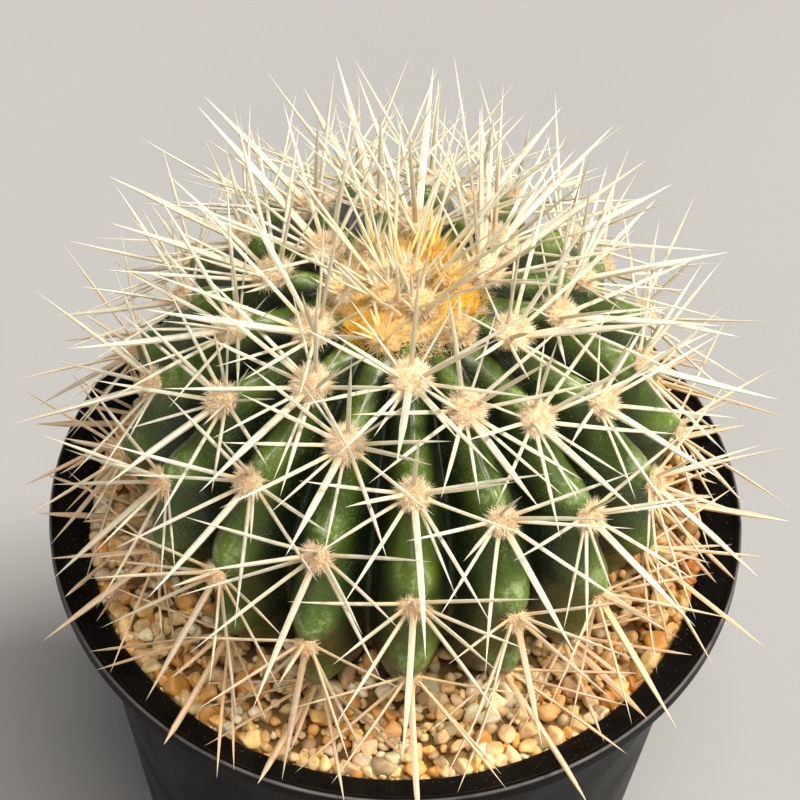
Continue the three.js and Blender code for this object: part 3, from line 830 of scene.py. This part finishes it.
def make_crown_wool(areoles):
    """Golden felt of the crown, with the cushions of its youngest areoles."""
    batch = Batch()
    rings, columns = 20, 72
    points = np.array([
        crown_mound(MOUND_R * (j / rings), 2 * math.pi * i / columns)
        for j in range(rings + 1)
        for i in range(columns)
    ])
    gold = tuft_gold(points)[:, None]
    colours = list(mixed(CROWN_STRAW * 0.8, WOOL_GOLD, gold))
    points[:, 2] += 0.5 * ripple(points, 1.1, 51) + 0.35 * ripple(points, 2.9, 52)
    under = points[-columns:] * [0.97, 0.97, 1] - [0, 0, 1.2]
    points = np.vstack([points, under, [0, 0, points[0, 2] - MOUND_RISE - 1.0]])
    colours = np.array(colours + [WOOL_TAN * 0.6] * (columns + 1))
    colours *= 1 + 0.3 * ripple(points, 2.4, 53)[:, None]
    base = (rings + 1) * columns
    faces = []
    for a in range(0, base, columns):
        for p, q, r, s in band(a, a + columns, columns):
            if a:
                faces.append((p, q, r))
            faces.append((p, r, s))
    faces += [(base + columns, s, p) for p, _, _, s in band(base, base, columns)]
    batch.add(points, faces, colours)
    chance = RNG.random((MOUND_HAIRS, 5))
    share = np.sqrt(chance[:, 0])
    turn = 2 * math.pi * chance[:, 1]
    roots = np.array([crown_mound(HAIRY_R * s, a) for s, a in zip(share, turn)]) - [0, 0, 0.2]
    out = 0.9 * share
    leans = np.stack([out * np.sin(turn), -out * np.cos(turn), np.full(MOUND_HAIRS, 0.8)], 1)
    leans = units(leans + 0.6 * RNG.normal(size=(MOUND_HAIRS, 3)))
    gold = np.clip(tuft_gold(roots) + 0.25 * (chance[:, 2] - 0.5), 0, 1)[:, None]
    tints = mixed(CROWN_STRAW, WOOL_GOLD, gold) * (0.72 + 0.4 * chance[:, 3:4])
    lengths = added(MOUND_HAIR_LENGTHS, chance[:, 4])
    add_hairs(batch, roots, leans, lengths, np.full(MOUND_HAIRS, MOUND_HAIR_R), tints)
    for areole in areoles:
        lift = added(YOUNG_LIFT, areole["s"] < YOUNGEST)
        lifted = {**areole, "at": areole["at"] + areole["out"] * lift}
        gold = 0.8 * float(tuft_gold(areole["at"][None])[0])
        colour = mixed(WOOL_CREAM, WOOL_GOLD, gold)
        wool_ball(batch, lifted, *YOUNG_CUSHION, colour, WOOL_GOLD * 0.4 + 0.6 * CROWN_STRAW)
    return batch.build("crown_felt", smooth=False)


YOUNG_SPEARS = 9
SPEAR_DISTANCE = 3
SPEAR_LEANS = (0.25, 0.55)
SPEAR_LENGTHS = (4, 5)
SPEAR_R = 0.5
SPEAR_ROOT = (0.9, 1.4)
CROWN_SINK = 0.8
BODY_SINK = 1.4


def young_spears(areoles):
    """Short golden spines that are still growing out of the crown's youngest areoles."""
    spears = []
    for areole in areoles:
        key = areole["key"]
        for i in range(YOUNG_SPEARS):
            turn = 2 * math.pi * (i + 0.4 * swing(key, i, 81)) / YOUNG_SPEARS
            lean = added(SPEAR_LEANS, draw(key, i, 82))
            along = areole["down"] * math.cos(turn) + areole["side"] * math.sin(turn)
            spears.append({
                "key": key,
                "s": SPEAR_DISTANCE,
                "rank": SPEAR_RANK,
                "root": areole["at"] + along * SPEAR_ROOT[0] + areole["out"] * SPEAR_ROOT[1],
                "out": areole["out"],
                "direction": unit(areole["out"] + along * lean),
                "length": added(SPEAR_LENGTHS, draw(key, i, 83)),
                "radius": SPEAR_R,
            })
    return spears


def make_spines(spines):
    groups = {"body_spines": Batch(), "crown_spines": Batch()}
    for spine in spines:
        in_crown = spine["rank"] < 0
        batch = groups["crown_spines" if in_crown else "body_spines"]
        batch.add(*spine_mesh(spine, CROWN_SINK if in_crown else BODY_SINK))
    return {name: batch.build(name, smooth=False) for name, batch in groups.items()}


# Gravel

GRAIN_COLOURS = np.array([
    [0.88, 0.66, 0.35],
    [0.88, 0.51, 0.17],
    [0.7, 0.33, 0.08],
    [0.96, 0.85, 0.6],
    [0.55, 0.4, 0.22],
    [0.92, 0.62, 0.27],
])
GRAIN_WEIGHTS = [0.3, 0.17, 0.08, 0.23, 0.05, 0.17]
GRAIN_TONES = (0.82, 0.32)
GRAIN_HUES = (0.95, 1.05)
# Painted shade: the grains at the plant's right are painted darker and more amber
SHADED_SIDE_FROM = (14, 46)
SHADED_SIDE_LOSS = np.array([0.46, 0.6, 0.78])
GRAIN_FLATS = 9
GRAIN_FLAT_AT = (0.66, 0.3)
GRAIN_SHARPNESS = 26
GRAIN_STRETCH = 0.3 * np.array([1, 1, 0.8])
GRAIN_REACH = 0.75
FEW_LARGE = 1.7
GRAIN_TRIES = 30
BY_WALL = 4
GRAVEL_EDGE = WALL_TOP_R - WALL - 0.3
BED_COLOUR = (0.24, 0.145, 0.05)
BED_TOP = GRAVEL_TOP - 2.2
BED_BOTTOM = GRAVEL_TOP - 6.4
BED_EDGE_RISE = 1.1
INNER_STEPS = 340
HALVINGS = 20


def skin_radius_at(z, angle):
    """Radius of the plant's lower half at a height."""
    low, high = SHELL_LENGTH / 2, SHELL_LENGTH
    for _ in range(HALVINGS):
        middle = (low + high) / 2
        if skin(middle, angle)[1] > z:
            low = middle
        else:
            high = middle
    return skin(low, angle)[0]


def grain_mesh(sphere, size):
    """Rounded stone with flattened faces."""
    normals = units(RNG.normal(size=(GRAIN_FLATS, 3)))
    distances = added(GRAIN_FLAT_AT, RNG.random(GRAIN_FLATS))
    push = np.maximum(sphere @ normals.T, 0) / distances
    push = (push**GRAIN_SHARPNESS).sum(1) ** (1 / GRAIN_SHARPNESS)
    radius = 1 / np.maximum(push, GRAIN_REACH)
    shape = sphere * radius[:, None] * (1 + GRAIN_STRETCH * RNG.uniform(-1, 1, 3))
    turn = np.linalg.qr(RNG.normal(size=(3, 3)))[0]
    if np.linalg.det(turn) < 0:
        turn[:, 0] *= -1
    return size * shape @ turn


def make_gravel_layer(name, ico, count, radii, height, crowding):
    """Loose grains, the largest first, each at a place where it isn't too near another."""
    sphere, faces = ico
    batch = Batch()
    taken = np.zeros((0, 3))
    sizes = np.sort(part_way(radii, RNG.random(count) ** FEW_LARGE))[::-1]
    for number, size in enumerate(sizes):
        by_wall = number % BY_WALL == 0
        for _ in range(GRAIN_TRIES):
            angle = 2 * math.pi * RNG.random()
            sector = int(angle / (2 * math.pi) * INNER_STEPS) % INNER_STEPS
            inner = INNER_R[sector] + 0.45 * size
            outer = GRAVEL_EDGE - 0.9 * size
            r = outer if by_wall else math.sqrt(inner**2 + (outer**2 - inner**2) * RNG.random())
            x, y = r * math.sin(angle), -r * math.cos(angle)
            away = np.hypot(taken[:, 0] - x, taken[:, 1] - y)
            if len(taken) and (away < crowding * (taken[:, 2] + size)).any():
                continue
            taken = np.vstack([taken, [x, y, size]])
            z = height - 0.55 * size + 0.35 * RNG.uniform(-1, 1)
            colour = GRAIN_COLOURS[RNG.choice(len(GRAIN_COLOURS), p=GRAIN_WEIGHTS)]
            colour = colour * added(GRAIN_TONES, RNG.random()) * RNG.uniform(*GRAIN_HUES, 3)
            # Painted shade: grains darker and more amber towards the plant's right
            colour = colour * (1 - smoothstep(x, *SHADED_SIDE_FROM) * SHADED_SIDE_LOSS)
            batch.add(grain_mesh(sphere, size) + [x, y, z], faces, colour)
            break
    return batch.build(name)


def make_gravel_bed():
    """Dark packed fines between and under the grains, from the ribs to the pot's wall."""
    columns, rings = 204, 14
    angles = [2 * math.pi * i / columns for i in range(columns)]
    inners = [skin_radius_at(GRAVEL_TOP - 2, angle) - 0.8 for angle in angles]
    points = []
    for j in range(rings):
        for angle, inner in zip(angles, inners):
            r = inner + (GRAVEL_EDGE - inner) * j / (rings - 1)
            points.append([r * math.sin(angle), -r * math.cos(angle), BED_TOP])
    top = np.array(points)
    at_edge = np.arange(len(top)) >= (rings - 2) * columns
    top[:, 2] += 0.5 * ripple(top, 1.6, 61) + BED_EDGE_RISE * at_edge
    low = top.copy()
    low[:, 2] = BED_BOTTOM
    points = np.vstack([top, low])
    faces = []
    offset = rings * columns
    last = offset - columns
    for a in range(0, last, columns):
        b = a + columns
        under = band(offset + a, offset + b, columns, flip=True)
        for pair in zip(band(a, b, columns), under):
            faces += pair
    faces += [face[::-1] for face in band(0, offset, columns)]
    faces += band(last, offset + last, columns)
    shade = 1 + 0.2 * ripple(points, 2.4, 62)[:, None]
    colours = np.tile(BED_COLOUR, (len(points), 1)) * shade
    return mesh_object("gravel_bed", points, faces, colours)


# Pot

def wall_radius(z):
    return WALL_TOP_R - WALL_TAPER * (POT_HEIGHT - LIP_DROP - z)


def rounded(profile, steps=5):
    """Profile of (r, z, fillet radius) corners with each corner turned into a short arc."""
    out = []
    count = len(profile)
    for i, (r, z, fillet) in enumerate(profile):
        here = np.array([r, z], float)
        if fillet <= 0:
            out.append(here)
            continue
        before = np.array(profile[i - 1][:2], float)
        after = np.array(profile[(i + 1) % count][:2], float)
        back, ahead = before - here, after - here
        cut = min(fillet, 0.48 * np.linalg.norm(back), 0.48 * np.linalg.norm(ahead))
        start, end = here + cut * unit(back), here + cut * unit(ahead)
        for k in range(steps + 1):
            t = k / steps
            out.append((1 - t) ** 2 * start + 2 * t * (1 - t) * here + t**2 * end)
    return out


def make_pot():
    lip = POT_HEIGHT - LIP_DROP
    under_rim = POT_HEIGHT - RIM_EDGE - LIP_THICKNESS

    def inner(z):
        return wall_radius(z) - WALL

    profile = [
        (0, 0, 0),
        (wall_radius(0) - 2.2, 0, 1.2),
        (wall_radius(2.2), 2.2, 1.4),
        (wall_radius(lip - 1), lip - 1, 0.8),
        (wall_radius(lip) + 0.9, under_rim - 0.4, 0.8),
        (RIM_R - LIP_THICKNESS, under_rim, 0.4),
        (RIM_R - LIP_THICKNESS, lip, 0.3),
        (RIM_R, lip, 0.45),
        (RIM_R, POT_HEIGHT, 0.5),
        (RIM_R - RIM_EDGE, POT_HEIGHT, 0.3),
        (RIM_R - RIM_EDGE - 0.5, POT_HEIGHT - 0.6, 0.3),
        (inner(lip) + 0.4, lip + 0.3, 1.2),
        (inner(lip - 2), lip - 2, 1.0),
        (inner(FLOOR + 4), FLOOR + 4, 3.0),
        (inner(FLOOR) - 4, FLOOR, 3.0),
        (0, FLOOR, 0),
    ]
    line = np.array(rounded(profile))
    angles = 2 * math.pi * np.arange(POT_SEGMENTS) / POT_SEGMENTS
    ring = line[1:-1]
    x = ring[:, :1] * np.sin(angles)
    y = -ring[:, :1] * np.cos(angles)
    z = np.repeat(ring[:, 1:], POT_SEGMENTS, axis=1)
    points = np.stack([x, y, z], axis=-1).reshape(-1, 3)
    low = len(points)
    points = np.vstack([points, [0, 0, line[0, 1]], [0, 0, line[-1, 1]]])
    faces = tube(len(ring), POT_SEGMENTS, low, low + 1, flip=True)
    pot = mesh_object("pot_shell", points, faces)
    for i in range(DRAIN_HOLES):
        cut_hole(pot, 2 * math.pi * i / DRAIN_HOLES)
    return pot


def cut_hole(pot, angle):
    """Drain hole through the pot's floor."""
    bpy.ops.mesh.primitive_cylinder_add(
        vertices=48,
        radius=DRAIN_R * MM,
        depth=6 * FLOOR * MM,
        location=(DRAIN_RING_R * math.cos(angle) * MM, DRAIN_RING_R * math.sin(angle) * MM, 0),
    )
    cutter = bpy.context.object
    cut = pot.modifiers.new("hole", "BOOLEAN")
    cut.operation = "DIFFERENCE"
    cut.solver = "EXACT"
    cut.object = cutter
    bpy.context.view_layer.objects.active = pot
    bpy.ops.object.modifier_apply(modifier=cut.name)
    bpy.data.objects.remove(cutter)


# Materials

def opaque(colour):
    """Opaque colour from three values, or from one for a grey."""
    return (*np.broadcast_to(colour, 3).tolist(), 1)


class Nodes:
    """Builds a material's node tree."""

    def __init__(self, name):
        self.material = bpy.data.materials.new(name)
        self.material.use_nodes = True
        self.tree = self.material.node_tree
        self.shader = self.tree.nodes["Principled BSDF"]

    def add(self, kind, sockets, **settings):
        """New node, with a link or a value for each of these sockets."""
        node = self.tree.nodes.new("ShaderNode" + kind)
        for key, value in settings.items():
            setattr(node, key, value)
        for key, value in sockets.items():
            if isinstance(value, bpy.types.NodeSocket):
                self.link(value, node.inputs[key])
            else:
                node.inputs[key].default_value = value
        return node

    def link(self, source, target):
        self.tree.links.new(source, target)

    def coords(self):
        return self.add("TexCoord", {}).outputs["Object"]

    def noise(self, scale, detail, roughness=0.6):
        sockets = {"Scale": scale, "Detail": detail, "Roughness": roughness}
        node = self.add("TexNoise", {**sockets, "Vector": self.coords()})
        return node.outputs["Fac"]

    def ramp(self, factor, stops):
        node = self.add("ValToRGB", {"Fac": factor})
        elements = node.color_ramp.elements
        while len(elements) < len(stops):
            elements.new(0.5)
        for element, (place, colour) in zip(elements, stops):
            element.position = place
            element.color = opaque(colour)
        return node.outputs["Color"]

    def mix(self, factor, a, b, blend="MIX"):
        a, b = (c if isinstance(c, bpy.types.NodeSocket) else opaque(c) for c in (a, b))
        sockets = {0: factor, 6: a, 7: b}
        node = self.add("Mix", sockets, data_type="RGBA", blend_type=blend)
        return node.outputs[2]

    def times(self, a, b):
        return self.add("Math", {0: a, 1: b}, operation="MULTIPLY").outputs[0]

    def fade(self, value, low, high, low_share=0.0, high_share=1.0):
        """One share up to the low mark in millimetres, the other from the high one on."""
        marks = {"From Min": low * MM, "From Max": high * MM}
        shares = {"To Min": low_share, "To Max": high_share}
        return self.add("MapRange", {**marks, **shares, "Value": value}).outputs[0]

    def specks(self, scale, near, far):
        """White dots on black."""
        sockets = {"Scale": scale, "Vector": self.coords()}
        node = self.add("TexVoronoi", sockets, feature="F1")
        return self.ramp(node.outputs["Distance"], [(near, 1), (far, 0)])

    def tint(self):
        node = self.add("Attribute", {}, attribute_name="tint")
        return node.outputs["Color"]

    def tinted(self, tone):
        return self.mix(1.0, self.tint(), tone, "MULTIPLY")

    def bump(self, height, strength, distance):
        sockets = {"Strength": strength, "Distance": distance, "Height": height}
        node = self.add("Bump", sockets)
        self.link(node.outputs["Normal"], self.shader.inputs["Normal"])

    def set(self, **values):
        for key, value in values.items():
            self.shader.inputs[key.replace("_", " ")].default_value = value

    def glow(self, weight, scale, radius):
        self.set(Subsurface_Weight=weight, Subsurface_Scale=scale, Subsurface_Radius=radius)

    def base(self, socket):
        self.link(socket, self.shader.inputs["Base Color"])


PALE_FLECK = (0.26, 0.33, 0.17)
# Painted highlight: a whitish mottled gloss painted on the swellings above the areoles
PAINTED_HIGHLIGHT_PALE = (0.42, 0.52, 0.3)


def skin_material():
    """Mottled green with pale flecks, and a painted highlight, whitish and mottled, on the
    swellings above the areoles.
    """
    n = Nodes("waxy_green_skin")
    mottled = [(0.3, (0.62, 0.7, 0.62)), (0.52, 1.0), (0.75, (1.5, 1.36, 1.2))]
    green = n.tinted(n.ramp(n.noise(70, 3), mottled))
    patch = n.ramp(n.noise(220, 4), [(0.42, 0), (0.7, 1)])
    fleck = n.mix(1.0, n.specks(2600, 0.12, 0.3), patch, "MULTIPLY")
    flecked = n.mix(fleck, green, PALE_FLECK)
    # Painted highlight, laid where the skin's tint marks the swellings
    parts = n.add("SeparateColor", {0: n.tint()})
    highlight_zone = n.ramp(parts.outputs["Green"], [(0.1, 0), (0.155, 1)])
    highlight_blotches = n.ramp(n.noise(520, 6, 0.72), [(0.47, 0), (0.62, 0.5)])
    n.base(n.mix(n.mix(1.0, highlight_zone, highlight_blotches, "MULTIPLY"), flecked, PAINTED_HIGHLIGHT_PALE))
    n.set(Roughness=0.42, Specular_IOR_Level=0.22, Coat_Weight=0.5, Coat_Roughness=0.25)
    n.glow(0.06, 0.002, (0.6, 1.0, 0.3))
    n.bump(n.noise(300, 6, 0.74), 0.75, 0.0008)
    return n.material


def spine_material():
    n = Nodes("ivory_spine")
    n.base(n.tinted(n.ramp(n.noise(1500, 3), [(0.3, (0.86, 0.84, 0.8)), (0.7, 1.0)])))
    n.set(Roughness=0.5)
    n.glow(0.45, 0.0015, (1.0, 0.7, 0.4))
    n.bump(n.noise(2600, 3), 0.25, 0.0001)
    return n.material


def wool_material():
    n = Nodes("plant_wool")
    n.base(n.tinted(n.ramp(n.noise(1800, 4), [(0.25, (0.88, 0.81, 0.71)), (0.62, 1.0)])))
    n.set(Roughness=0.95, Sheen_Weight=0.1, Sheen_Roughness=0.5)
    n.glow(0.1, 0.0006, (1.0, 0.7, 0.4))
    n.bump(n.noise(2600, 4), 0.8, 0.0004)
    return n.material


def gravel_material():
    n = Nodes("washed_gravel")
    stains = [(0.3, (0.72, 0.62, 0.48)), (0.6, 1.0), (0.8, (1.08, 1.05, 0.98))]
    n.base(n.tinted(n.ramp(n.noise(420, 5), stains)))
    n.set(Roughness=0.55)
    n.glow(0.12, 0.0012, (1.0, 0.7, 0.35))
    n.bump(n.noise(1500, 5), 0.35, 0.0002)
    return n.material


def soil_material():
    n = Nodes("potting_soil")
    n.base(n.ramp(n.noise(500, 6), [(0.3, (0.018, 0.012, 0.008)), (0.7, (0.09, 0.06, 0.035))]))
    n.set(Roughness=1.0)
    n.bump(n.noise(700, 6), 0.8, 0.001)
    return n.material


DUST_FROM = POT_HEIGHT - 5.0
DUST_TO = POT_HEIGHT - 1.2
DUST = (0.009, 0.0072, 0.0053)
GRIT = (0.3, 0.25, 0.18)
# Painted highlight along the rim's raised outer edge
RIM_HIGHLIGHT_GREY = (0.13, 0.12, 0.115)


def pot_material():
    """Black moulded plastic, dusted with pale grit on the band inside the rim, with a painted
    highlight along the rim's outer edge.
    """
    n = Nodes("black_plastic")
    blacks = [(0.3, (0.0016, 0.0016, 0.0017)), (0.7, (0.0036, 0.0036, 0.0038))]
    plastic = n.ramp(n.noise(35, 3), blacks)
    height = n.add("SeparateXYZ", {0: n.coords()}).outputs["Z"]
    sockets = {0: n.coords(), 1: (1, 1, 0)}
    level = n.add("VectorMath", sockets, operation="MULTIPLY").outputs[0]
    length = n.add("VectorMath", {0: level}, operation="LENGTH")
    radius = length.outputs["Value"]
    sockets = {0: height, 1: DUST_FROM * MM}
    above = n.add("Math", sockets, operation="GREATER_THAN").outputs[0]
    inside = n.fade(radius, RIM_R - RIM_EDGE - 0.2, RIM_R - RIM_EDGE - 0.8)
    zone = n.times(n.times(inside, n.fade(height, DUST_FROM, DUST_TO, 1.0, 0.25)), above)
    film = n.times(n.ramp(n.noise(130, 6), [(0.35, 0), (0.8, 1)]), zone)
    dusty = n.mix(film, plastic, DUST)
    gritty = n.mix(n.times(n.specks(1100, 0.07, 0.14), zone), dusty, GRIT)
    # Painted highlight: a soft grey line along the rim's outer corner
    outer = n.fade(radius, RIM_R - 0.5, RIM_R - 0.2)
    corner = n.times(outer, n.fade(height, POT_HEIGHT - 0.6, POT_HEIGHT - 0.2))
    rim_highlight = n.times(n.ramp(n.noise(60, 4), [(0.3, 0.35), (0.65, 1)]), corner)
    n.base(n.mix(rim_highlight, gritty, RIM_HIGHLIGHT_GREY))
    gloss = n.ramp(n.noise(90, 5), [(0.3, 0.36), (0.75, 0.52)])
    n.link(n.mix(zone, gloss, 0.75), n.shader.inputs["Roughness"])
    n.set(Specular_IOR_Level=0.08)
    n.bump(n.noise(2400, 3), 0.12, 0.0001)
    return n.material


def floor_material():
    n = Nodes("pale_floor")
    n.base(n.ramp(n.noise(6, 3), [(0.3, (0.245, 0.245, 0.25)), (0.7, (0.26, 0.26, 0.265))]))
    n.set(Roughness=0.85)
    return n.material


# Stage

def make_camera():
    rise, roll = math.radians(CAMERA_RISE), math.radians(CAMERA_ROLL)
    forward = Vector((0, math.cos(rise), -math.sin(rise)))
    right = Vector((1, 0, 0))
    up = right.cross(forward)
    level_right = right * math.cos(roll) + up * math.sin(roll)
    level_up = -right * math.sin(roll) + up * math.cos(roll)
    place = (Vector(CAMERA_TARGET) - forward * CAMERA_DISTANCE) * MM
    data = bpy.data.cameras.new("camera")
    data.lens = LENS
    data.sensor_width = SENSOR
    data.clip_start = 0.01
    camera = bpy.data.objects.new("camera", data)
    axes = Matrix((level_right, level_up, -forward)).transposed()
    camera.matrix_world = Matrix.Translation(place) @ axes.to_4x4()
    bpy.context.scene.collection.objects.link(camera)
    bpy.context.scene.camera = camera


LIGHT_AIM = Vector((0, 0, 0.13))
LIGHT_REACH = 8
# Name, place in metres, size in metres, power in watts and colour
LIGHTS = [
    ("key", (0.42, 0.02, 0.74), 0.24, 11, (1.0, 0.94, 0.84)),
    ("top", (0.04, -0.26, 0.92), 0.3, 5.6, (1.0, 0.95, 0.87)),
    ("front", (-0.12, -0.88, 0.62), 0.3, 2.1, (1.0, 0.96, 0.9)),
]
WORLD_COLOUR = (1.0, 0.97, 0.93)
WORLD_STRENGTH = 0.085
BACKDROP = (0.56, 0.55, 0.53)
FLOOR_HALF = 9.0


def area_light(name, place, size, power, colour):
    """Soft light seen from the part as one at this place, but far off, so that it falls evenly."""
    towards = Vector(place) - LIGHT_AIM
    data = bpy.data.lights.new(name, "AREA")
    data.size = size * LIGHT_REACH
    data.energy = power * LIGHT_REACH**2
    data.color = colour
    light = bpy.data.objects.new(name, data)
    light.location = LIGHT_AIM + towards * LIGHT_REACH
    light.rotation_mode = "QUATERNION"
    light.rotation_quaternion = (-towards).to_track_quat("-Z", "Y")
    bpy.context.scene.collection.objects.link(light)


def make_world():
    """Dim even light all round, that looks as pale as the floor."""
    world = bpy.data.worlds.new("studio")
    world.use_nodes = True
    tree = world.node_tree
    dim = tree.nodes["Background"]
    dim.inputs["Color"].default_value = opaque(WORLD_COLOUR)
    dim.inputs["Strength"].default_value = WORLD_STRENGTH
    pale = tree.nodes.new("ShaderNodeBackground")
    pale.inputs["Color"].default_value = opaque(BACKDROP)
    seen = tree.nodes.new("ShaderNodeLightPath")
    choice = tree.nodes.new("ShaderNodeMixShader")
    tree.links.new(seen.outputs["Is Camera Ray"], choice.inputs["Fac"])
    tree.links.new(dim.outputs[0], choice.inputs[1])
    tree.links.new(pale.outputs[0], choice.inputs[2])
    tree.links.new(choice.outputs[0], tree.nodes["World Output"].inputs["Surface"])
    bpy.context.scene.world = world


def make_stage():
    half = FLOOR_HALF / MM
    corners = [(-half, -half, 0), (half, -half, 0), (half, half, 0), (-half, half, 0)]
    floor = mesh_object("floor", corners, [(0, 1, 2, 3)])
    floor.data.materials.append(floor_material())
    for light in LIGHTS:
        area_light(*light)
    make_world()
    bpy.context.scene.view_settings.view_transform = "Standard"


def dress(piece, material, slot, *nodes):
    piece.data.materials.append(material)
    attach(piece, "root")
    if nodes:
        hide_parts(*nodes)


ICO_1 = ico_sphere(1)
ICO_2 = ico_sphere(2)
INNER_R = [skin_radius_at(GRAVEL_TOP, 2 * math.pi * i / INNER_STEPS) for i in range(INNER_STEPS)]
# Name, icosphere, count, radii, height, and how near grains may lie by their radii's sum
GRAVEL_LAYERS = [
    ("gravel_low", ICO_1, 1700, (0.65, 1.35), GRAVEL_TOP - 0.7, 0.56),
    ("gravel_top", ICO_2, 620, (0.85, 1.8), GRAVEL_TOP + 0.6, 0.72),
]

make_camera()
make_stage()
AREOLES = body_areoles()
wool = wool_material()
spine_finish = spine_material()
gravel_finish = gravel_material()
dress(make_skin(), skin_material(), "cactus", "cactus")
spine_pieces = make_spines(place_spines(AREOLES) + young_spears(crown_areoles()))
dress(spine_pieces["body_spines"], spine_finish, "cactus", "cactus")
dress(spine_pieces["crown_spines"], spine_finish, "crown_wool", "crown_wool")
for name, lower in (("areole_wool", False), ("areole_wool_low", True)):
    areoles = [areole for areole in AREOLES if (areole["s"] >= WOOL_SPLIT) == lower]
    dress(make_areole_wool(name, areoles), wool, "cactus", "cactus")
dress(make_crown_wool(crown_areoles()), wool, "crown_wool", "crown_wool")
dress(make_gravel_bed(), gravel_finish, "gravel", "gravel")
for layer in GRAVEL_LAYERS:
    dress(make_gravel_layer(*layer), gravel_finish, "gravel")
dress(make_pot(), pot_material(), "pot", "pot")
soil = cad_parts["soil"]
soil.data.materials.clear()
soil.data.materials.append(soil_material())
